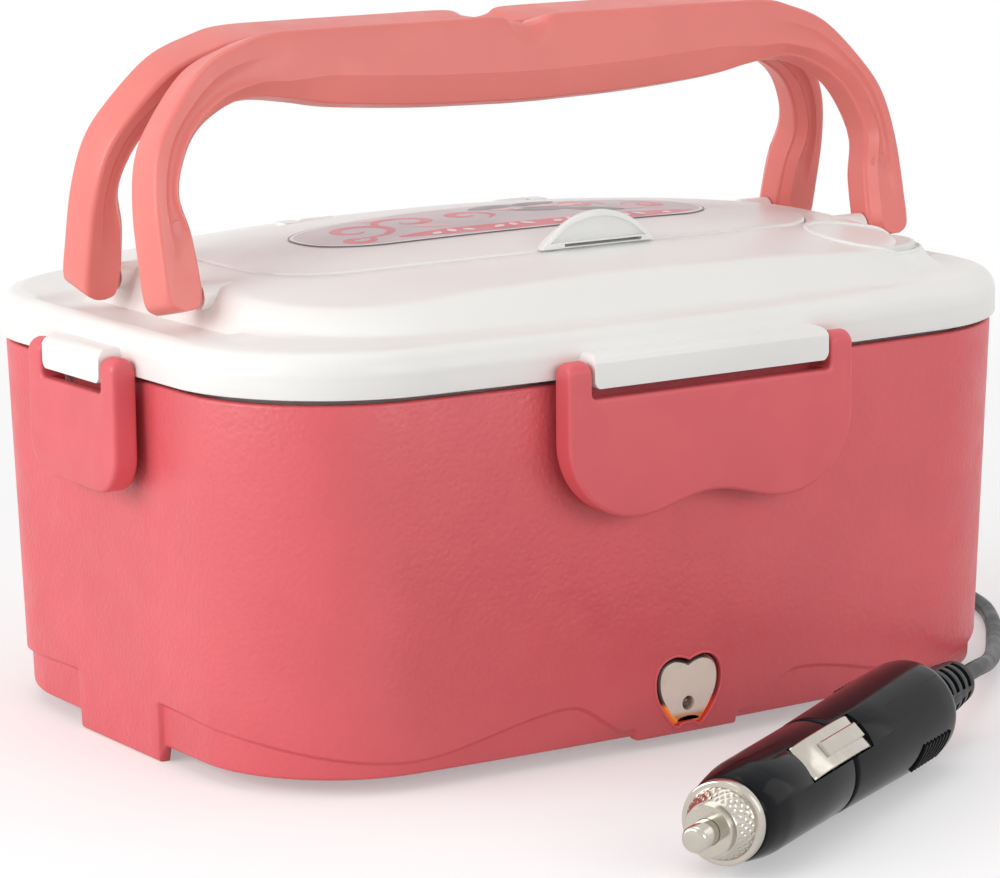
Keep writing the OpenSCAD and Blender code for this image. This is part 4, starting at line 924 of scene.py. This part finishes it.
def make_clip(side, clip, turned_by):
    rings = []
    for y, inset in (
            (-3.1, 1.15), (-3.07, 0.8), (-2.95, 0.45), (-2.7, 0.18), (-2.3, 0.03), (-1.8, 0), (-1.1, 0),
            (-0.4, 0), (0.4, 0), (1.1, 0), (1.8, 0), (2.4, 0.02), (2.8, 0.1), (3.05, 0.3), (3.15, 0.6)):
        top = max(3.1 * math.sqrt(max(1 - (y / 3.2) ** 2, 0)), 0.5) + inset
        rings.append([(x, y, z) for x, z in inset_outline(clip_outline(clip, top), inset)])
    latch = make_object("latch_" + side, Shape().loft(rings), ["clip_pink"])
    low = [p for p in inset_outline(clip_outline(clip, 3), 2) if p[1] < -8.2]
    x0, x1 = clip.half - 7.4, clip.half - 2
    hollow = [(x0, 6), (x0, -8), (x1, -8)] + low + [(-x1, -8), (-x0, -8), (-x0, 6)]
    cut(latch, Shape().prism(hollow, -0.7, 4.5))
    ear = clip.half - EAR_W
    extra = Shape().box((4 - ear, -1, -15.7), (ear - 4, 3.15, -12.5))
    for s in (-1, 1):
        extra.bar(s * (ear + 0.5), s * (ear - 3.6), 0, 0, 1.5, 24)
    weld(latch, extra)
    latch.data.transform(turn(turned_by) @ shift(0, -clip.pivot * MM, CLIP_Z * MM))
    place(latch, side + "_clip", "body_pink", "clip_" + side)


for clip_side, clip_row in CLIPS.items():
    make_clip(clip_side, *clip_row)

# ---------- handles; heights are above their pivots
UNDER = RISE - GRIP_H                   # underside of the grip
HANDLE_OUT = (
    [(x, RISE - z) for x, z in ((0, 2), (4.5, 1.3), (9, 0.1), (32, 0), (60, 0), (74, 0.3))]
    + [(HANDLE_HALF - x, RISE - z) for x, z in ((30, 2), (18.5, 7), (8, 18), (2.6, 27), (0.3, 39))]
    + [(HANDLE_HALF - x, z) for x, z in ((0, 8), (0.3, -0.8), (3, -3.3))])
HANDLE_IN = (
    [(x, UNDER + z) for x, z in ((0, 0), (4.5, 0), (9, 0.1), (32, 0.8), (56, 2.6), (68, 4.6))]
    + [(LEG_IN - x, RISE - z) for x, z in ((22, 15.2), (14, 16.6), (5.5, 21.4), (0.4, 28), (-2.5, 37))]
    + [(LEG_IN + x, z) for x, z in ((0.6, 14), (0, -0.8), (3, -3.3))])


def handle_ring(a, b):
    """Half section of the handle between its outer edge at a and its inner edge at b."""
    length = np.linalg.norm(b - a)
    u = (b - a) / length
    thick = HANDLE_T / 2
    bevel_run = 2.4 + 4.3 * (1 - eased((a[0] - 58) / 30))
    dip = 1 - eased((a[0] - 1.5) / 7)            # scooped facets at the V of the grip's middle
    run, deep = 1.5 + 4.7 * dip, 1.5 + 1.4 * dip             # length and depth of the outer rounding
    half = [(run * (1 - math.cos(t)), thick - deep + deep * math.sin(t))
            for t in np.radians(range(0, 91, 18))]
    fade = eased((a[0] - 72) / 22) * eased((a[1] - 4) / 10)
    start, end = 0.36 * length, length - bevel_run
    half.append((run + (start - run) * 0.6, thick))
    for t in np.linspace(0, 1, 13):                          # hollow along the leg's side
        sag = 0.95 * fade * (1 - (2 * t - 1) ** 2) ** 0.8
        half.append((start + (end - start) * t, thick - sag))
    half += [(end + (bevel_run - 0.8) * 0.5, thick - 1.25), (length - 0.8, 3.9), (length - 0.25, 3.5),
             (length, 2.9)]
    return [(*(a + d * u), y) for d, y in half]


def make_handle(side, turned_by):
    right = [handle_ring(a, b) for a, b in zip(spline(HANDLE_OUT, 8), spline(HANDLE_IN, 8))]
    rings = []
    for sx, stations in ((-1, right[:0:-1]), (1, right)):
        rings += [[(sx * x, -y, z) for x, z, y in ring] + [(sx * x, y, z) for x, z, y in ring[::-1]]
                  for ring in stations]
    handle = Shape().loft(rings)
    for s in (-1, 1):
        handle.bar(s * (LEG_IN + 3), s * (LEG_IN - 7.5), 0, 0, 2.4)
        disc = Shape().turned([(0, 0.02), (0, 2.3), (0.3, 2.75), (1.2, 2.8), (1.2, 0.02)], 40)
        handle.join(disc.moved(shift(s * 105.4, -5.78, 15.5) @ turn(90)))
    handle.moved(turn(turned_by) @ shift(0, -PIVOT_Y, PIVOT_Z) @ turn(-LEAN, "X"))
    add_piece("grip_" + side, handle, "handle_coral", side + "_handle", "handle_" + side, sharp=17)


make_handle("front", 0)
make_handle("back", 180)

# ---------- plug, with t along it from its tip
PLUG_FRAME = shift(PLUG_X, PLUG_Y, PLUG_R) @ turn(PLUG_HEADING)
NOSE_R, RELIEF_T, CONTACT_T, CONTACT_L = 10.9, 122, 40, 32
KNURL_START, KNURL_END = 9.3, 13.9
CONTACT_ROLLS = {"near": -45, "far": 135}


def plug_frame(roll):
    return PLUG_FRAME @ turn(roll, "X")


def plug_piece(name, profile, material, body, node, sides=72, **options):
    shape = Shape().turned(profile, sides, **options).moved(PLUG_FRAME)
    return add_piece(name, shape, material, body, node, sharp=30)


def make_tip():
    profile = [(0, 0.02), (0, 2.2), (0.12, 2.55), (0.35, 2.8), (0.8, 3), (10.5, 3), (10.5, 4.2), (10.7, 4.4),
               (12.8, 4.4), (13, 4.2), (13, 1.6), (18, 1.6), (18, 0.02)]
    return plug_piece("tip_pin", profile, "nickel", "tip", "plug_tip")


def knurl(t, angle):
    """Diamond knurl on the ring's cone."""
    if not KNURL_START < t < KNURL_END:
        return np.zeros(len(angle))
    deep = 0.34 * eased((t - KNURL_START) / 0.5) * eased((KNURL_END - t) / 0.5)
    ridges = [np.abs(np.cos(13 * angle + lean * t)) for lean in (1.4, -1.4)]
    return deep * (np.maximum(*ridges) - 0.9)


def make_nose_ring():
    cone = [(t, 6.3 + 1.9 * (t - KNURL_START) / 4.7) for t in np.linspace(KNURL_START, 13.95, 16)]
    profile = [(7, 3.1), (7, 5.5), (7.25, 5.8), (9, 5.8), (9, 6.1), (9.1, 6.2)] + cone + [
        (14, 8.2), (14, 9.1), (14.15, 9.35), (14.5, 9.5), (16.6, 9.5), (16.9, 9.4), (17, 9.2), (17, 5),
        (10, 5), (10, 3.1)]
    return plug_piece("nose_ring", profile, "nickel", "base", "plug_ring", 260, loop=True, ripple=knurl)


def make_plug_shells():
    """Nose and barrel, with a slot through both for each side contact."""
    nose = [(17, 5), (17, 9.3), (17.2, 9.55), (17.6, 9.75), (22, 10.55), (25.5, 11.05), (27, 11.2),
            (29, 11.3), (46, 11.4), (60.6, 11.5), (61.2, 11.4), (61.6, 11.1), (61.9, 10.6), (62, 10.2),
            (62, 5)]
    barrel = [(62.05, 0.02), (62.05, 10.3), (62.2, 10.8), (62.5, 11.3), (63, 11.55), (64, 11.65), (85, 12.15),
              (104, 12.55), (112, 12.6), (118, 12.55), (119.6, 12.35), (120.8, 11.9), (121.6, 11.1),
              (RELIEF_T, 10), (RELIEF_T, 0.02)]
    shells = [plug_piece("nose_shell", nose, "plug_black", "base", "plug_nose", 128, loop=True),
              plug_piece("barrel", barrel, "plug_black", "base", "plug_body", 128)]
    slots = Shape()
    for roll in CONTACT_ROLLS.values():
        slot = Shape().box((CONTACT_T - 0.5, -17, -4.8), (CONTACT_T + CONTACT_L + 0.5, -5.1, 4.8))
        slots.join(slot.moved(plug_frame(roll)))
    for shell in shells:
        cut(shell, slots, 30)
        soften(shell, 0.25, 30)
    return shells


def make_contact(side, roll):
    """Sprung side contact: a bowed leaf with a raised rib."""
    back = spline([(0, 0.2), (1.2, -0.5), (6, -1.5), (12, -1.75), (20, -1.85), (27, -1.3), (30.5, -0.4),
                   (CONTACT_L, 0.7)], 5)
    outline = [(0, 4.2), *back, (CONTACT_L, 4.2), (30.2, 4.2), (22, 1.4), (4, 1.4), (1.8, 4.2)]
    blade = [[(CONTACT_T + t, y - NOSE_R + inset * (y < 0), z) for t, y in outline]
             for z, inset in ((-4.5, 0.3), (-4.3, 0.08), (-4, 0), (4, 0), (4.3, 0.08), (4.5, 0.3))]
    rib = [[(CONTACT_T + t, -NOSE_R - h, z) for t, z in ((a, -w), (b, -w), (b, w), (a, w))]
           for h, a, b, w in ((1.2, 8.4, 28.4, 2.0), (2.2, 8.6, 28, 1.9), (2.45, 9, 27.6, 1.6))]
    shape = Shape().loft(blade).loft(rib).moved(plug_frame(roll))
    body = side + "_contact"
    return add_piece(body, shape, "nickel", body, "contact_" + side, sharp=30)


def make_grip_ribs():
    """Slanting ribs on both flanks of the barrel, and its two parting lines."""
    ribs = Shape()
    for flank in (0, 180):
        for t0 in np.arange(98.5, 115, 2.1):
            path = []
            for s in np.linspace(0, 1, 7):
                a = math.radians(-42 + 32 * s + flank)
                path.append((t0 + 2.2 * s, -12.5 * math.cos(a), 12.5 * math.sin(a)))
            ribs.tube(path, 0.6, 10)
    for a in np.radians((52, 232)):
        line = ((64, 11.42), (85, 12.08), (104, 12.53), (118, 12.53))
        ribs.tube([(t, -r * math.cos(a), r * math.sin(a)) for t, r in line], 0.16, 6)
    return add_piece("grip_ribs", ribs.moved(PLUG_FRAME), "plug_black", "base", sharp=60)


def make_relief():
    """Strain relief where the lead enters the plug, notched all round."""
    profile = [(RELIEF_T, 0.02), (RELIEF_T, 7.6), (RELIEF_T + 0.4, 7.9), (PLUG_L - 0.6, 5.4), (PLUG_L, 4.8),
               (PLUG_L, 0.02)]
    relief = plug_piece("cord_relief", profile, "soft_black", "base", "plug_strain_relief", 64)
    notches = Shape()
    for i in range(5):
        t = RELIEF_T + 3 + 4.8 * i
        for roll in (45, 135, 225, 315):
            notches.join(Shape().box((t, -9, -3.6), (t + 2.4, -3.8, 3.6)).moved(plug_frame(roll)))
    cut(relief, notches, 30)
    soften(relief, 0.2, 30)
    return relief


def make_gland():
    """Rubber gland where the lead leaves the box, tapered and ribbed round the lead."""
    profile = [(72.1, 2.25), (72.1, 6.4), (73.7, 6.4), (73.7, 4.9), (79.15, 4.9), (79.15, 6.0), (79.35, 6.35),
               (79.9, 6.4)]
    for i in range(6):
        t = 82 + 3.3 * i
        r = 6.4 - 3.3 * (t - 79.2) / 24.1
        profile += [(t, r), (t + 0.15, r - 0.55), (t + 1.15, r - 0.75), (t + 1.3, r - 0.2)]
    profile += [(103, 3.1), (103.3, 2.9), (103.3, 2.25)]
    shape = Shape().turned(profile, 48, loop=True).moved(shift(GLAND_X, 0, GLAND_Z) @ turn(90))
    return add_piece("gland", shape, "soft_black", "base", "cord_gland", sharp=30)


plug_pieces = [make_tip(), make_nose_ring(), *make_plug_shells()]
plug_pieces += [make_contact(side, roll) for side, roll in CONTACT_ROLLS.items()]
plug_pieces += [make_grip_ribs(), make_relief()]
on_lead = [make_gland(), *plug_pieces, NODES["coil_tie"], NODES["tip_spring"], NODES["plug_fuse"]]

# ---------- finish of the pieces carried over from the frame
CARRIED = {
    "liner_white": ("inner_liner", "side_tray", "lid_liner", "cord_clamp", "terminal_block"),
    "body_pink": ("bottom_cover",), "aluminium": ("heating_plate",), "silicone": ("plate_seal", "lid_gasket"),
    "steel": ("food_container", "heater_clamp", "clamp_screws", "cover_screws", "cord_clamp_screws",
              "tip_spring"),
    "ceramic": ("ptc_heater", "thermal_fuse"), "plug_black": ("thermostat",),
    "lamp_smoked": ("indicator_led",), "board_green": ("led_board",), "lead_red": ("power_leads",),
    "soft_black": ("rubber_feet", "coil_tie"), "fuse_glass": ("plug_fuse",)}
EDGES = {"side_tray": 0.4, "heating_plate": 0.5, "food_container": 0.3, "inner_liner": 0.4,
         "bottom_cover": 0.5, "rubber_feet": 0.6, "cover_screws": 0.3}


def finish_carried():
    for material, nodes in CARRIED.items():
        for node in nodes:
            slots = NODES[node].material_slots
            for slot in slots:
                slot.material = MATERIAL[material]
            if not slots:
                NODES[node].data.materials.append(MATERIAL[material])
    for node, width in EDGES.items():
        bevel(NODES[node], width, 2, 50)


finish_carried()

# ---------- floor, world and lights
FLOOR_HALF, FLOOR_GLOW = 6, 0.34        # in metres; glow as the camera sees it
WORLD_LIGHT = 0.46                      # of the world on the pieces, where the camera sees 1
LAMPS = {"key": ((-1.25, 0.15, 0.5), (1.3, 0.7), 11), "front": ((0.3, -1.7, 0.6), (1.4, 0.6), 8),
         "top": ((0, 0.1, 1.5), (1.3, 0.9), 4), "right": ((1.3, -0.4, 0.6), (0.5, 0.8), 1)}


def math_node(tree, operation, first, second):
    node = tree.nodes.new("ShaderNodeMath")
    node.operation = operation
    feed(tree, node.inputs[0], first)
    feed(tree, node.inputs[1], second)
    return node.outputs[0]


def any_ray(tree, *kinds):
    """1 for rays of these kinds, and 0 for others."""
    rays = tree.nodes.new("ShaderNodeLightPath").outputs
    found = rays[kinds[0]]
    for kind in kinds[1:]:
        found = math_node(tree, "MAXIMUM", found, rays[kind])
    return found


def make_floor():
    """White floor that keeps the contact shadow and melts into the white world further out."""
    mesh = bpy.data.meshes.new("floor")
    corners = [(x * FLOOR_HALF, y * FLOOR_HALF, 0) for x, y in ((-1, -1), (1, -1), (1, 1), (-1, 1))]
    mesh.from_pydata(corners, [], [(0, 1, 2, 3)])
    paint = Paint("floor", (0.72, 0.72, 0.72), 0.7, Specular_IOR_Level=0.1, Emission_Color=(1, 1, 1, 1))
    tree, shader = paint.tree, paint.shader
    seen = any_ray(tree, "Is Camera Ray", "Is Glossy Ray")
    feed(tree, shader.inputs["Emission Strength"], math_node(tree, "MULTIPLY", seen, FLOOR_GLOW))
    distance = paint.node("ShaderNodeVectorMath", Vector=paint.place)
    distance.operation = "LENGTH"
    away = math_node(tree, "MULTIPLY", paint.ramp(distance.outputs["Value"], 0.35, 0.75), seen)
    mix, blank = tree.nodes.new("ShaderNodeMixShader"), tree.nodes.new("ShaderNodeEmission")
    for socket, value in zip(mix.inputs, (away, shader.outputs[0], blank.outputs[0])):
        feed(tree, socket, value)
    feed(tree, tree.nodes["Material Output"].inputs[0], mix.outputs[0])
    mesh.materials.append(paint.material)
    add_object("floor", mesh)


def make_world():
    world = bpy.data.worlds.new("studio")
    bpy.context.scene.world = world
    world.use_nodes = True
    tree = world.node_tree
    level = tree.nodes.new("ShaderNodeMapRange")
    feed(tree, level.inputs["Value"], any_ray(tree, "Is Camera Ray", "Is Glossy Ray", "Is Transmission Ray"))
    level.inputs["To Min"].default_value, level.inputs["To Max"].default_value = WORLD_LIGHT, 1.0
    back = tree.nodes["Background"]
    back.inputs["Color"].default_value = (1, 1, 1, 1)
    feed(tree, back.inputs["Strength"], level.outputs[0])


def make_lamps():
    for name, (at, size, power) in LAMPS.items():
        data = bpy.data.lights.new(name, "AREA")
        data.shape, data.size, data.size_y, data.energy = "RECTANGLE", *size, power
        lamp = add_object(name, data)
        lamp.location = at
        lamp.rotation_euler = (Vector((0, 0, 0.07)) - Vector(at)).to_track_quat("-Z", "Y").to_euler()


make_floor()
make_world()
make_lamps()
bpy.context.scene.view_settings.view_transform = "Standard"
